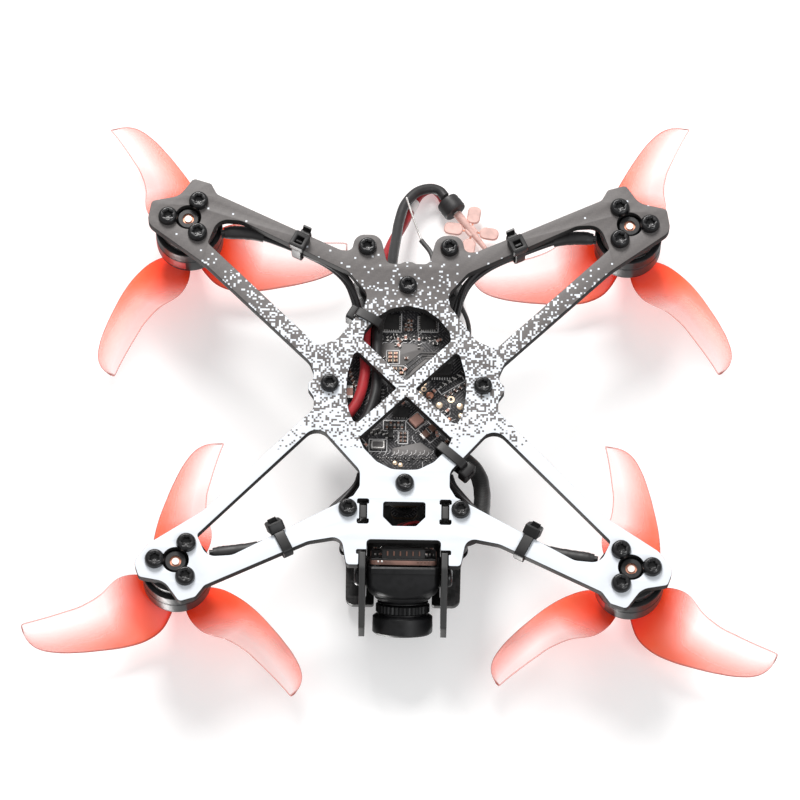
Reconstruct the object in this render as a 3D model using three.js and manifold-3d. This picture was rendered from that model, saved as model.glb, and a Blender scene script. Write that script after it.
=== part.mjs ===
// FPV racing drone, 2.5 inch propellers, 115 mm between diagonal motors.
// Millimetres, +Z up. The camera end points along -Y. The origin is on the underside
// of the bottom plate, where the two bars of its X web cross.
import * as THREE from "three";
import { mergeVertices } from "three/addons/utils/BufferGeometryUtils.js";
import Module from "manifold-3d";

const wasm = await Module();
wasm.setup();

// driving dimensions
const MOTOR_X = 44.2;
const MOTOR_Y = 36.7;
const PLATE_T = 2.0;
const TOP_Z = 20.0;
const TOP_T = 1.5;
const PROP_R = 31.8;
const PROP_Z = 15.6;
const BELL_R = 6.75;
const BELL_Z0 = 4.2;
const BELL_Z1 = 12.2;
const MOTOR_SCREW_R = 4.0;
const HEAD_R = 1.95;
const HEAD_H = 1.35;
const SIDE_X0 = 7.4;
const SIDE_T = 1.2;
const CAM_Y = -35.5;
const CAM_Z = 10.5;
const CAM_TILT = 30 * Math.PI / 180;
const FC_Z = 5.0;
const VTX_Z = 11.5;
const BOARD_T = 1.2;
const EAR = [8.2, 30.7];
const FRONT_PAIR = [11.0, -25.4];
const FC_MOUNTS = [[15.1, 0.9], [-15.1, 0.9], [0, 22.4], [0, -20.0]];

const group = new THREE.Group();

// materials
function mat(hex, roughness, metalness = 0) {
  return new THREE.MeshStandardMaterial({ color: hex, roughness, metalness });
}
const carbon = mat(0x4a4646, 0.55);
const printed = mat(0xd9dde2, 0.5);
const blackSteel = mat(0x141414, 0.4, 0.8);
const alu = mat(0x8d8f93, 0.35, 0.9);
const pcb = mat(0x2a2b2c, 0.5);
const bellBlack = mat(0x1b1b1d, 0.35, 0.7);
const stator = mat(0x8a4b2a, 0.5, 0.5);
const propRed = mat(0xff4a2a, 0.25);
const plastic = mat(0x1a1b1c, 0.45);
const rubber = mat(0x161616, 0.7);
const redWire = mat(0xb3141c, 0.45);
const paleCopper = mat(0xe9c9c0, 0.5);

// solids
function toSolid(geometry) {
  const g = geometry.clone();
  g.deleteAttribute("normal");
  g.deleteAttribute("uv");
  const m = mergeVertices(g, 1e-4);
  const vertProperties = new Float32Array(m.attributes.position.array);
  const triVerts = new Uint32Array(m.index.array);
  return new wasm.Manifold(new wasm.Mesh({ numProp: 3, vertProperties, triVerts }));
}

function toGeometry(solid) {
  const m = solid.getMesh();
  const g = new THREE.BufferGeometry();
  g.setAttribute("position", new THREE.BufferAttribute(new Float32Array(m.vertProperties), 3));
  g.setIndex(new THREE.BufferAttribute(new Uint32Array(m.triVerts), 1));
  const flat = g.toNonIndexed();
  flat.computeVertexNormals();
  return flat;
}

function cut(base, tools) {
  let s = toSolid(base);
  for (const t of tools) {
    s = s.subtract(toSolid(t));
  }
  return toGeometry(s);
}

function join(parts) {
  let s = toSolid(parts[0]);
  for (const p of parts.slice(1)) {
    s = s.add(toSolid(p));
  }
  return toGeometry(s);
}

// outlines: each vertex is [x, y, fillet radius]
function rounded(vertices, steps = 4) {
  const out = [];
  const n = vertices.length;
  for (let i = 0; i < n; i += 1) {
    const p = new THREE.Vector2(vertices[i][0], vertices[i][1]);
    const a = new THREE.Vector2(vertices[(i + n - 1) % n][0], vertices[(i + n - 1) % n][1]);
    const b = new THREE.Vector2(vertices[(i + 1) % n][0], vertices[(i + 1) % n][1]);
    const u = a.clone().sub(p);
    const v = b.clone().sub(p);
    const lu = u.length();
    const lv = v.length();
    u.divideScalar(lu);
    v.divideScalar(lv);
    const angle = Math.acos(Math.min(1, Math.max(-1, u.dot(v))));
    if (Math.PI - angle < 1e-3) {
      continue;
    }
    const r = vertices[i][2] || 0;
    const reach = Math.min(r / Math.tan(angle / 2), lu * 0.49, lv * 0.49);
    if (r === 0 || reach < 0.02 || Math.PI - angle < 0.06) {
      out.push(p);
      continue;
    }
    const radius = reach * Math.tan(angle / 2);
    const centre = p.clone().add(u.clone().add(v).normalize().multiplyScalar(radius / Math.sin(angle / 2)));
    const t0 = p.clone().add(u.multiplyScalar(reach)).sub(centre);
    const t1 = p.clone().add(v.multiplyScalar(reach)).sub(centre);
    const a0 = Math.atan2(t0.y, t0.x);
    let sweep = Math.atan2(t1.y, t1.x) - a0;
    if (sweep > Math.PI) {
      sweep -= 2 * Math.PI;
    }
    if (sweep < -Math.PI) {
      sweep += 2 * Math.PI;
    }
    const count = Math.max(1, Math.min(steps, Math.ceil(Math.abs(sweep) / 0.5)));
    for (let k = 0; k <= count; k += 1) {
      const t = a0 + sweep * k / count;
      out.push(new THREE.Vector2(centre.x + radius * Math.cos(t), centre.y + radius * Math.sin(t)));
    }
  }
  return out;
}

function mirrored(half) {
  const other = half.filter((v) => Math.abs(v[0]) > 1e-6).map((v) => [-v[0], v[1], v[2]]);
  return half.concat(other.reverse());
}

function flipX(vertices) {
  return vertices.map((v) => [-v[0], v[1], v[2]]).reverse();
}

function circle(x, y, r, segments = 16) {
  const pts = [];
  for (let i = 0; i < segments; i += 1) {
    const t = 2 * Math.PI * i / segments;
    pts.push(new THREE.Vector2(x + r * Math.cos(t), y + r * Math.sin(t)));
  }
  return pts;
}

function prism(outline, z0, thickness) {
  const shape = new THREE.Shape(outline);
  const g = new THREE.ExtrudeGeometry(shape, { depth: thickness, bevelEnabled: false, steps: 1 });
  g.translate(0, 0, z0);
  return g;
}

function slab(outline, holes, z0, thickness) {
  const base = prism(outline, z0, thickness);
  if (holes.length === 0) {
    return base;
  }
  return cut(base, holes.map((h) => prism(h, z0 - 1, thickness + 2)));
}

function lathe(profile, segments) {
  const g = new THREE.LatheGeometry(profile.map((p) => new THREE.Vector2(p[0], p[1])), segments);
  g.rotateX(Math.PI / 2);
  return g;
}

function box(x0, x1, y0, y1, z0, z1) {
  const g = new THREE.BoxGeometry(x1 - x0, y1 - y0, z1 - z0);
  g.translate((x0 + x1) / 2, (y0 + y1) / 2, (z0 + z1) / 2);
  return g;
}

function tube(points, radius, sides, steps) {
  const curve = new THREE.CatmullRomCurve3(points.map((p) => new THREE.Vector3(...p)));
  const shape = new THREE.Shape(circle(0, 0, radius, sides));
  return new THREE.ExtrudeGeometry(shape, { steps, bevelEnabled: false, extrudePath: curve });
}

function add(name, geometry, material, x = 0, y = 0, z = 0) {
  const mesh = new THREE.Mesh(geometry, material);
  mesh.name = name;
  mesh.position.set(x, y, z);
  group.add(mesh);
  return mesh;
}

// ---------------------------------------------------------------- bottom plate
const plateHalf = [
  [0, 27.7, 0], [0.8, 27.6, 0.3], [1.6, 27.2, 0.4], [4.2, 27.2, 1.4],
  [5.7, 33.5, 2.4], [10.6, 33.5, 2.4], [11.3, 29.9, 1.3], [13.5, 30.0, 2.5],
  [38.6, 41.9, 1.6], [39.8, 44.2, 0.8], [43.4, 45.3, 0.9], [46.1, 41.4, 3.5],
  [51.6, 40.2, 1.0], [52.4, 35.3, 2.6], [40.3, 26.3, 12], [19.2, 5.7, 3],
  [18.3, 3.4, 1], [18.4, 1.9, 0.6], [19.3, 1.0, 0.5], [19.3, -0.3, 0.5],
  [18.2, -1.9, 0.8], [18.1, -4.4, 2], [39.1, -26.3, 8], [49.6, -33.4, 4],
  [52.3, -37.2, 2.2], [51.2, -40.3, 0.9], [46.2, -41.2, 3.5], [43.2, -45.3, 0.9],
  [40.1, -44.3, 0.9], [38.4, -41.9, 1.6], [18.6, -32.4, 5], [12.2, -31.2, 2.0],
  [11.1, -37.1, 0.8], [8.75, -37.1, 0.3], [8.75, -34.8, 0], [9.2, -34.8, 0.3],
  [9.2, -33.9, 0.3], [7.2, -33.9, 0], [7.2, -31.8, 0.8], [0, -31.8, 0],
];
const rearTriangle = [
  [40.1, 31.1, 0.8], [38.2, 36.4, 3.0], [33.6, 36.1, 4], [11.9, 25.3, 3.0],
  [8.0, 20.6, 2.5], [8.5, 18.0, 2.0], [13.7, 10.6, 3.5], [17.6, 9.0, 1.8],
];
const frontTriangle = [
  [17.3, -7.6, 2.8], [8.8, -17.4, 2.5], [8.8, -20.7, 1.5], [10.0, -22.7, 0.8],
  [33.2, -35.5, 3.5], [38.2, -35.9, 2.6], [40.2, -31.4, 0.8],
];
const sideWindow = [
  [10.2, 8.5, 0.8], [1.9, 0.2, 0.3], [10.0, -7.8, 0.9], [11.3, -4.4, 2],
  [11.8, -0.6, 3], [11.6, 3.2, 3],
];
const rearWindow = mirrored([
  [0, 18.0, 0], [3.4, 17.3, 3], [6.2, 15.3, 2.5], [8.4, 12.5, 2], [8.7, 10.5, 0.9], [0, 1.9, 0.3],
]);
const frontWindow = mirrored([
  [0, -1.4, 0.5], [9.1, -10.4, 0.6], [8.1, -12.7, 1.5], [5.6, -15.4, 3], [2.6, -17.0, 3], [0, -17.1, 0],
]);
const noseWindow = mirrored([[0, -23.9, 0], [4.1, -23.9, 0.5], [4.1, -27.0, 0.4], [2.3, -28.9, 0.5], [0, -28.9, 0]]);
const dogBone = [
  [6.9, -23.3, 0.4], [6.9, -24.3, 0.3], [7.25, -24.3, 0], [7.25, -27.5, 0],
  [6.9, -27.5, 0.3], [6.9, -28.5, 0.4], [9.2, -28.5, 0.4], [9.2, -27.5, 0.3],
  [8.75, -27.5, 0], [8.75, -24.3, 0], [9.2, -24.3, 0.3], [9.2, -23.3, 0.4],
];

function signs() {
  return [[1, 1], [-1, 1], [1, -1], [-1, -1]];
}

const motors = [
  { name: "front_left", sx: 1, sy: -1, turn: -1, phase: 103.2 },
  { name: "front_right", sx: -1, sy: -1, turn: 1, phase: 83.6 },
  { name: "rear_left", sx: 1, sy: 1, turn: 1, phase: 58.2 },
  { name: "rear_right", sx: -1, sy: 1, turn: -1, phase: 113.2 },
];

function motorScrewSpots(m) {
  return [0, 120, 240].map((deg) => {
    const t = deg * Math.PI / 180;
    return [m.sx * (MOTOR_X + MOTOR_SCREW_R * Math.cos(t)), m.sy * MOTOR_Y + MOTOR_SCREW_R * Math.sin(t)];
  });
}

const plateHoles = [
  rounded(rearTriangle), rounded(flipX(rearTriangle)),
  rounded(frontTriangle), rounded(flipX(frontTriangle)),
  rounded(sideWindow, 2), rounded(flipX(sideWindow), 2),
  rounded(rearWindow, 2), rounded(frontWindow, 2), rounded(noseWindow, 1),
  rounded(dogBone, 1), rounded(flipX(dogBone), 1),
];
for (const m of motors) {
  plateHoles.push(circle(m.sx * MOTOR_X, m.sy * MOTOR_Y, 2.6, 14));
  for (const [x, y] of motorScrewSpots(m)) {
    plateHoles.push(circle(x, y, 1.0, 6));
  }
}
for (const s of [1, -1]) {
  plateHoles.push(circle(s * EAR[0], EAR[1], 1.15, 8));
  plateHoles.push(circle(s * FRONT_PAIR[0], FRONT_PAIR[1], 1.15, 8));
}
for (const [x, y] of FC_MOUNTS) {
  plateHoles.push(circle(x, y, 1.15, 8));
}
add("bottom_plate", slab(rounded(mirrored(plateHalf), 3), plateHoles, 0, PLATE_T), printed);

// ---------------------------------------------------------------- top plate
const topHalf = [
  [0, 29.0, 0], [3.6, 29.0, 1.5], [5.4, 33.7, 2.4], [11.0, 33.7, 2.6], [11.4, 27.5, 3],
  [9.4, 21, 6], [9.4, -14, 6], [11.5, -22, 6], [11.3, -37.9, 1.7],
  [5.7, -37.9, 0.6], [5.7, -34.4, 1.2], [0, -34.4, 0],
];
const topHoles = [];
for (const s of [1, -1]) {
  topHoles.push(circle(s * EAR[0], EAR[1], 1.15, 8));
  topHoles.push(circle(s * FRONT_PAIR[0], FRONT_PAIR[1], 1.15, 8));
  topHoles.push(rounded([[s * 3.5, -6, 1], [s * 7.0, -6, 1], [s * 7.0, 14, 1], [s * 3.5, 14, 1]]));
  const slot = [[7.3, -27.5, 0.2], [8.7, -27.5, 0.2], [8.7, -24.4, 0.2], [7.3, -24.4, 0.2]];
  topHoles.push(rounded(s > 0 ? slot : flipX(slot), 1));
  const tip = [[7.3, -36.1, 0.2], [8.7, -36.1, 0.2], [8.7, -33.4, 0.2], [7.3, -33.4, 0.2]];
  topHoles.push(rounded(s > 0 ? tip : flipX(tip), 1));
}
add("top_plate", slab(rounded(mirrored(topHalf)), topHoles, TOP_Z, TOP_T), carbon);

// ---------------------------------------------------------------- camera side plates
// profile in (y, z); tabs at the ends reach into the slots of both plates
const sideProfile = [
  [-23.2, 2.0, 0.2], [-24.6, 2.0, 0], [-24.6, 0.1, 0.2], [-27.2, 0.1, 0.2], [-27.2, 2.0, 0],
  [-34.3, 2.0, 0], [-34.3, 0.1, 0.2], [-37.6, 0.1, 1.0], [-41.6, 4.0, 3], [-46.9, 8.6, 1.2],
  [-47.4, 12.6, 1.2], [-44.6, 15.6, 3], [-39.0, 19.9, 1.0], [-35.9, 20.0, 0], [-35.9, 21.4, 0.2],
  [-33.6, 21.4, 0.2], [-33.6, 20.0, 0], [-27.3, 20.0, 0], [-27.3, 21.4, 0.2], [-24.6, 21.4, 0.2],
  [-24.6, 20.0, 0], [-23.2, 20.0, 0.2], [-22.6, 11.0, 0],
];
const sideHole = [[-25.2, 3.6, 0.8], [-30.4, 3.6, 0.8], [-31.6, 11, 1.5], [-29.4, 16.8, 0.8], [-25.2, 16.8, 0.8]];
for (const [name, x0] of [["side_plate_left", SIDE_X0], ["side_plate_right", -SIDE_X0 - SIDE_T]]) {
  const g = slab(rounded(sideProfile, 2), [circle(CAM_Y, CAM_Z, 1.2, 10), rounded(sideHole, 2)], 0, SIDE_T);
  // (a, b, depth) -> (x = depth, y = a, z = b)
  g.applyMatrix4(new THREE.Matrix4().set(0, 0, 1, x0, 1, 0, 0, 0, 0, 1, 0, 0, 0, 0, 0, 1));
  add(name, g, carbon);
}

// ---------------------------------------------------------------- standoffs and screws
const standoffProfile = [
  [1.15, PLATE_T], [1.75, PLATE_T], [1.75, 5.0], [1.5, 5.6], [1.5, 16.4], [1.75, 17.0],
  [1.75, TOP_Z], [1.15, TOP_Z], [1.15, PLATE_T],
];
const corners = [
  ["rear_left", EAR[0], EAR[1]], ["rear_right", -EAR[0], EAR[1]],
  ["front_left", FRONT_PAIR[0], FRONT_PAIR[1]], ["front_right", -FRONT_PAIR[0], FRONT_PAIR[1]],
];

// button-head screw, hex socket, head below z = 0 and shank going up
function screwGeometry(headR, shankR, length) {
  const body = lathe([
    [0, length], [shankR, length], [shankR, 0], [headR, 0], [headR, -0.45],
    [headR * 0.78, -HEAD_H], [0, -HEAD_H],
  ].reverse(), 9);
  const socket = new THREE.CylinderGeometry(headR * 0.42, headR * 0.42, 1.6, 6);
  socket.rotateX(Math.PI / 2);
  socket.translate(0, 0, -HEAD_H - 0.8 + 0.85);
  return cut(body, [socket]);
}
const plateScrew = screwGeometry(1.85, 0.95, 7.0);
const boardScrew = screwGeometry(1.85, 0.95, 13.6);
const topScrew = screwGeometry(1.85, 0.95, 6.0);
topScrew.rotateX(Math.PI);
const motorScrew = screwGeometry(HEAD_R, 0.75, 3.6);

for (const [name, x, y] of corners) {
  add("standoff_" + name, lathe(standoffProfile, 10), alu, x, y, 0);
  add("plate_screw_" + name, plateScrew, blackSteel, x, y, 0);
  add("top_screw_" + name, topScrew, blackSteel, x, y, TOP_Z + TOP_T);
}
const mountNames = ["left", "right", "rear", "front"];
FC_MOUNTS.forEach(([x, y], i) => {
  add("board_screw_" + mountNames[i], boardScrew, blackSteel, x, y, 0);
});

// ---------------------------------------------------------------- boards
const fcOutline = [
  [0, 25.0, 0], [2.6, 25.0, 1.2], [4.6, 21.5, 2], [12.0, 11.5, 3], [13.0, 4.6, 1], [17.3, 4.2, 1.2],
  [17.3, -2.4, 1.2], [13.0, -2.8, 1], [12.3, -9.0, 2], [4.6, -19.4, 2], [2.6, -22.6, 1.2], [0, -22.6, 0],
];
const boardHoles = FC_MOUNTS.map(([x, y]) => circle(x, y, 1.3, 6));
add("flight_controller", slab(rounded(mirrored(fcOutline), 2), boardHoles, FC_Z, BOARD_T), pcb);
const vtxOutline = [
  [0, 25.0, 0], [2.6, 25.0, 1.2], [2.6, 14.0, 1], [8.4, 12.5, 1], [8.4, 4.0, 1], [17.3, 4.0, 1.2],
  [17.3, -2.2, 1.2], [8.4, -2.2, 1], [7.6, -10, 1], [2.6, -12, 1], [2.6, -22.6, 1.2], [0, -22.6, 0],
];
add("video_transmitter", slab(rounded(mirrored(vtxOutline), 1), boardHoles, VTX_Z, BOARD_T), pcb);

// ---------------------------------------------------------------- motors
function motorBase(m) {
  const disc = slab(circle(0, 0, 5.9, 16), [circle(0, 0, 1.15, 8)].concat(
    [0, 120, 240].map((d) => {
      const t = d * Math.PI / 180;
      return circle(m.sx * MOTOR_SCREW_R * Math.cos(t), MOTOR_SCREW_R * Math.sin(t), 0.95, 6);
    })), PLATE_T, 1.7);
  const post = lathe([[1.15, 0.7], [2.2, 0.7], [2.2, 11.0], [1.15, 11.0], [1.15, 0.7]], 8);
  const core = [];
  const teeth = 9;
  for (let i = 0; i < teeth; i += 1) {
    const t = 2 * Math.PI * i / teeth;
    const step = 2 * Math.PI / teeth;
    core.push([5.3, t - step * 0.36], [5.3, t + step * 0.36], [3.1, t + step * 0.36], [3.1, t + step * 0.64]);
  }
  const outline = core.map(([r, t]) => new THREE.Vector2(r * Math.cos(t), r * Math.sin(t)));
  const laminations = slab(outline, [circle(0, 0, 1.6, 8)], 5.4, 4.2);
  return join([disc, post, laminations]);
}

function motorBell() {
  // cup open downwards, magnet ring inside, shaft on the axis
  const profile = [
    [0, 0.9], [0.75, 0.9], [0.75, 11.3], [5.7, 11.3], [5.7, BELL_Z0], [BELL_R, BELL_Z0],
    [BELL_R, 11.2], [5.6, BELL_Z1], [2.6, BELL_Z1], [2.6, 13.1], [0.75, 13.1], [0.75, 18.9], [0, 18.9],
  ];
  const tools = [];
  for (let i = 0; i < 5; i += 1) {
    const hole = new THREE.CylinderGeometry(1.05, 1.05, 4, 6);
    hole.rotateX(Math.PI / 2);
    const t = (i + 0.5) * Math.PI * 0.4;
    hole.translate(4.15 * Math.cos(t), 4.15 * Math.sin(t), 12.4);
    tools.push(hole);
  }
  return cut(lathe(profile, 20), tools);
}

// ---------------------------------------------------------------- propellers
// stations along the blade: radius, start and end of the chord in degrees behind the tip line,
// pitch rise across the chord, thickness. The leading edge is the first one.
const stations = [
  [2.6, -60, 30, 2.6, 1.5],
  [5.0, -57, 30, 4.4, 1.35],
  [8.0, -52, 28, 6.2, 1.2],
  [11.5, -42, 20.5, 7.0, 1.1],
  [15.0, -32.5, 7.5, 6.2, 1.0],
  [19.0, -24, 2.4, 5.0, 0.9],
  [23.0, -18, 1.5, 4.0, 0.8],
  [27.0, -13, 1.3, 3.0, 0.7],
  [30.0, -9, 1.4, 2.2, 0.6],
  [31.4, -5.5, 1.4, 1.6, 0.5],
  [PROP_R, -2.8, 1.2, 1.2, 0.45],
];
const CHORD = 3;

function bladeGeometry(turn) {
  // turn -1: rotates clockwise seen from above, the leading edge is on the negative-angle side
  const s = turn < 0 ? 1 : -1;
  const rings = stations.map(([r, lead, trail, rise, t]) => {
    const top = [];
    const low = [];
    for (let k = 0; k <= CHORD; k += 1) {
      const f = k / CHORD;
      const deg = s * (lead + (trail - lead) * f);
      const a = deg * Math.PI / 180;
      const camber = 0.35 * Math.sin(Math.PI * f) * Math.min(1, (PROP_R - r) / 12 + 0.15);
      const z = PROP_Z + rise * (0.5 - f) + camber;
      const half = t / 2 * (0.35 + 0.65 * Math.sin(Math.PI * Math.min(1, Math.max(0, 0.12 + 0.76 * f))));
      top.push([r * Math.cos(a), r * Math.sin(a), z + half]);
      low.push([r * Math.cos(a), r * Math.sin(a), z - half]);
    }
    return top.concat(low.reverse());
  });
  const n = rings[0].length;
  const position = rings.flat(2);
  const index = [];
  function tri(a, b, c) {
    if (s > 0) {
      index.push(a, b, c);
    } else {
      index.push(a, c, b);
    }
  }
  for (let i = 0; i + 1 < rings.length; i += 1) {
    for (let j = 0; j < n; j += 1) {
      const a = i * n + j;
      const b = i * n + (j + 1) % n;
      tri(a, a + n, b);
      tri(b, a + n, b + n);
    }
  }
  const last = (rings.length - 1) * n;
  for (let j = 1; j + 1 < n; j += 1) {
    tri(0, j, j + 1);
    tri(last, last + j + 1, last + j);
  }
  const g = new THREE.BufferGeometry();
  g.setAttribute("position", new THREE.BufferAttribute(new Float32Array(position), 3));
  g.setIndex(index);
  return g;
}

function propeller(turn, phase) {
  const hub = lathe([
    [0.85, 13.2], [2.9, 13.2], [3.4, 13.7], [3.4, 17.3], [2.9, 17.8], [0.85, 17.8], [0.85, 13.2],
  ], 12);
  const blades = [0, 120, 240].map((d) => {
    const b = bladeGeometry(turn);
    b.rotateZ((phase + d) * Math.PI / 180);
    return b;
  });
  return join([hub, ...blades]);
}

for (const m of motors) {
  const x = m.sx * MOTOR_X;
  const y = m.sy * MOTOR_Y;
  add("motor_base_" + m.name, motorBase(m), stator, x, y, 0);
  add("motor_bell_" + m.name, motorBell(), bellBlack, x, y, 0);
  add("propeller_" + m.name, propeller(m.turn, m.phase), propRed, x, y, 0);
  motorScrewSpots(m).forEach(([sx, sy], i) => {
    add("motor_screw_" + m.name + "_" + (i + 1), motorScrew, blackSteel, sx, sy, 0);
  });
}

// ---------------------------------------------------------------- camera
// built along +Z (lens forward), then turned to look forward and up by CAM_TILT
const camera = new THREE.Group();
camera.position.set(0, CAM_Y, CAM_Z);
camera.rotation.x = Math.PI / 2 - CAM_TILT;
group.add(camera);

const camSquare = rounded([[7, 7, 1.2], [-7, 7, 1.2], [-7, -7, 1.2], [7, -7, 1.2]], 2);
const camBack = rounded([[6.5, 6.5, 1], [-6.5, 6.5, 1], [-6.5, -6.5, 1], [6.5, -6.5, 1]], 1);
const housing = slab(camSquare, [], -3.0, 5.0);
const backBoard = slab(camBack, [], -4.6, 1.7);
const plug = box(-4.2, 4.2, -6.2, -3.4, -6.6, -4.5);
const shoulder = lathe([[0, 1.9], [6.9, 1.9], [6.6, 3.2], [5.2, 4.2], [4.4, 4.9], [0, 4.9]], 24);
const bore = lathe([[0, 2.4], [3.6, 2.4], [3.6, 6], [0, 6]], 18);
const pinA = new THREE.CylinderGeometry(1.15, 1.15, 4, 12);
pinA.rotateZ(Math.PI / 2);
const pinB = pinA.clone();
pinA.translate(7.0, 0, 0);
pinB.translate(-7.0, 0, 0);
const body = toGeometry(
  toSolid(join([housing, backBoard, plug, shoulder]))
    .subtract(toSolid(bore))
    .subtract(toSolid(pinA))
    .subtract(toSolid(pinB)),
);
const bodyMesh = new THREE.Mesh(body, plastic);
bodyMesh.name = "camera_body";
camera.add(bodyMesh);

// lens barrel with a knurled focus ring and a hood, glass face set back inside the hood
const barrel = lathe([
  [0, 2.8], [3.2, 2.8], [3.2, 5.2], [5.3, 5.2], [5.3, 6.9], [4.6, 7.1], [5.9, 7.6],
  [5.9, 10.9], [5.3, 11.2], [4.5, 9.6], [3.4, 9.3], [0, 9.9],
], 20);
const lensMesh = new THREE.Mesh(barrel, plastic);
lensMesh.name = "camera_lens";
camera.add(lensMesh);

const camScrew = screwGeometry(1.9, 0.9, 3.2);
for (const [name, s] of [["camera_screw_left", 1], ["camera_screw_right", -1]]) {
  const g = camScrew.clone();
  g.rotateY(-s * Math.PI / 2);
  add(name, g, blackSteel, s * (SIDE_X0 + SIDE_T + 0.1), CAM_Y, CAM_Z);
}

// ---------------------------------------------------------------- wiring
// one flattened bundle of three wires from each motor, along the outer strut to the board
for (const m of motors) {
  const rear = [
    [37.6, 34.6, 3.1], [35.0, 34.9, 3.1], [31.0, 34.6, 3.2], [22.0, 31.2, 3.2], [15.4, 27.8, 3.2],
    [12.0, 24.6, 3.5], [10.5, 21.4, 4.2], [9.7, 18.6, 5.2],
  ];
  const front = [
    [37.8, -34.2, 3.1], [35.0, -33.9, 3.1], [30.0, -33.0, 3.2], [23.0, -30.2, 3.2], [16.0, -26.8, 3.4],
    [13.5, -23.3, 4.6], [11.2, -20.6, 5.2], [9.3, -18.2, 5.2], [8.6, -16.2, 5.3],
  ];
  const path = (m.sy > 0 ? rear : front).map(([x, y, z]) => [m.sx * x, y, z]);
  add("motor_wires_" + m.name, tube(path, 1.0, 6, 14), rubber);
}

// battery lead: two wires side by side from the board, over the neck, out at the rear
const leadBlack = [
  [10.0, -8.4, 3.5], [7.5, -4.2, 3.5], [6.1, 0.5, 3.5], [5.8, 5.5, 3.5], [5.9, 10.0, 3.5], [5.7, 15.5, 3.5],
  [4.3, 20.5, 3.5], [3.5, 26.5, 4.2], [3.0, 33.0, 8.0], [2.5, 38.5, 12.0], [2.0, 43.5, 15.0],
  [0.8, 48.5, 17.2], [-1.6, 52.0, 18.6], [-4.4, 53.2, 19.4], [-6.2, 52.8, 19.7], [-7.25, 51.55, 19.7],
];
const leadRed = [
  [12.0, -5.0, 3.5], [9.6, -1.2, 3.5], [8.3, 4.5, 3.5], [8.3, 10.5, 3.5], [8.1, 15.5, 3.5],
  [6.9, 20.5, 3.5], [6.1, 26.0, 4.6], [4.4, 33.6, 10.2], [3.0, 39.5, 15.2], [1.1, 44.5, 18.0],
  [-0.6, 49.6, 20.4], [-2.4, 53.2, 21.6], [-4.8, 54.4, 21.9], [-6.4, 53.1, 21.9], [-7.25, 51.55, 21.9],
];
const LEAD_R = 1.05;
add("battery_lead_black", tube(leadBlack, LEAD_R, 8, 32), rubber);
add("battery_lead_red", tube(leadRed, LEAD_R, 8, 32), redWire);

// sleeve that closes the lead, with the four-lobed aerial on its stem beyond it
const tail = new THREE.Group();
tail.position.set(-8.6, 49.9, 20.8);
tail.rotation.z = Math.atan2(-0.8, -0.6);
group.add(tail);
function addTail(name, geometry, material) {
  const mesh = new THREE.Mesh(geometry, material);
  mesh.name = name;
  tail.add(mesh);
}
const sleeve = lathe([[0, -1.8], [2.3, -1.8], [2.5, -1.4], [2.2, 1.3], [1.6, 1.8], [0, 1.8]], 14);
sleeve.rotateY(Math.PI / 2);
addTail("battery_plug", sleeve, rubber);
const stem = lathe([[0, 2.1], [0.9, 2.1], [0.6, 4.0], [0.5, 11.6], [0, 11.9]], 10);
stem.rotateY(Math.PI / 2);
const lobes = [];
for (let i = 0; i < 4; i += 1) {
  const lobe = new THREE.SphereGeometry(1, 8, 3);
  lobe.rotateX(Math.PI / 2);
  lobe.scale(3.9, 2.7, 0.7);
  lobe.translate(3.7, 0, 0);
  lobe.rotateZ((i + 0.5) * Math.PI / 2);
  lobe.translate(7.0, 0, 0);
  lobes.push(lobe);
}
addTail("video_antenna", join([stem, ...lobes]), paleCopper);

// receiver aerial: sheathed coax past the rear right standoff, bare tip beyond it
const coax = [[-5.4, 14.0, 8.6], [-5.2, 22.0, 8.6], [-5.1, 30.0, 9.0], [-4.6, 34.0, 9.8], [-2.5, 37.1, 10.0]];
const tip = [[-2.7, 36.8, 10.0], [-1.2, 41.0, 10.0], [0.6, 46.6, 10.0]];
add("receiver_antenna", join([tube(coax, 0.5, 6, 8), tube(tip, 0.22, 4, 3)]), rubber);

// sheathed camera cable: a free loop outside the right neck, back in through the side plate
const cable = [
  [-8.9, -10.6, 8.9], [-12.0, -11.4, 9.2], [-14.5, -14.2, 9.6], [-15.3, -18.0, 9.4],
  [-15.2, -21.8, 8.4], [-14.9, -25.4, 6.8], [-13.8, -28.2, 5.9], [-11.3, -29.1, 5.7],
  [-8.2, -28.2, 5.9], [-6.2, -27.2, 6.2],
];
add("camera_cable", tube(cable, 1.7, 8, 18), rubber);

export default group;
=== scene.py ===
# FPV racing drone: the looks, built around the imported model. Lengths are in millimetres until a
# mesh or curve is made; Blender objects are in metres, in the model's own frame.
import math
import random

import bpy
import bmesh
from mathutils import Matrix, Vector


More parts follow.
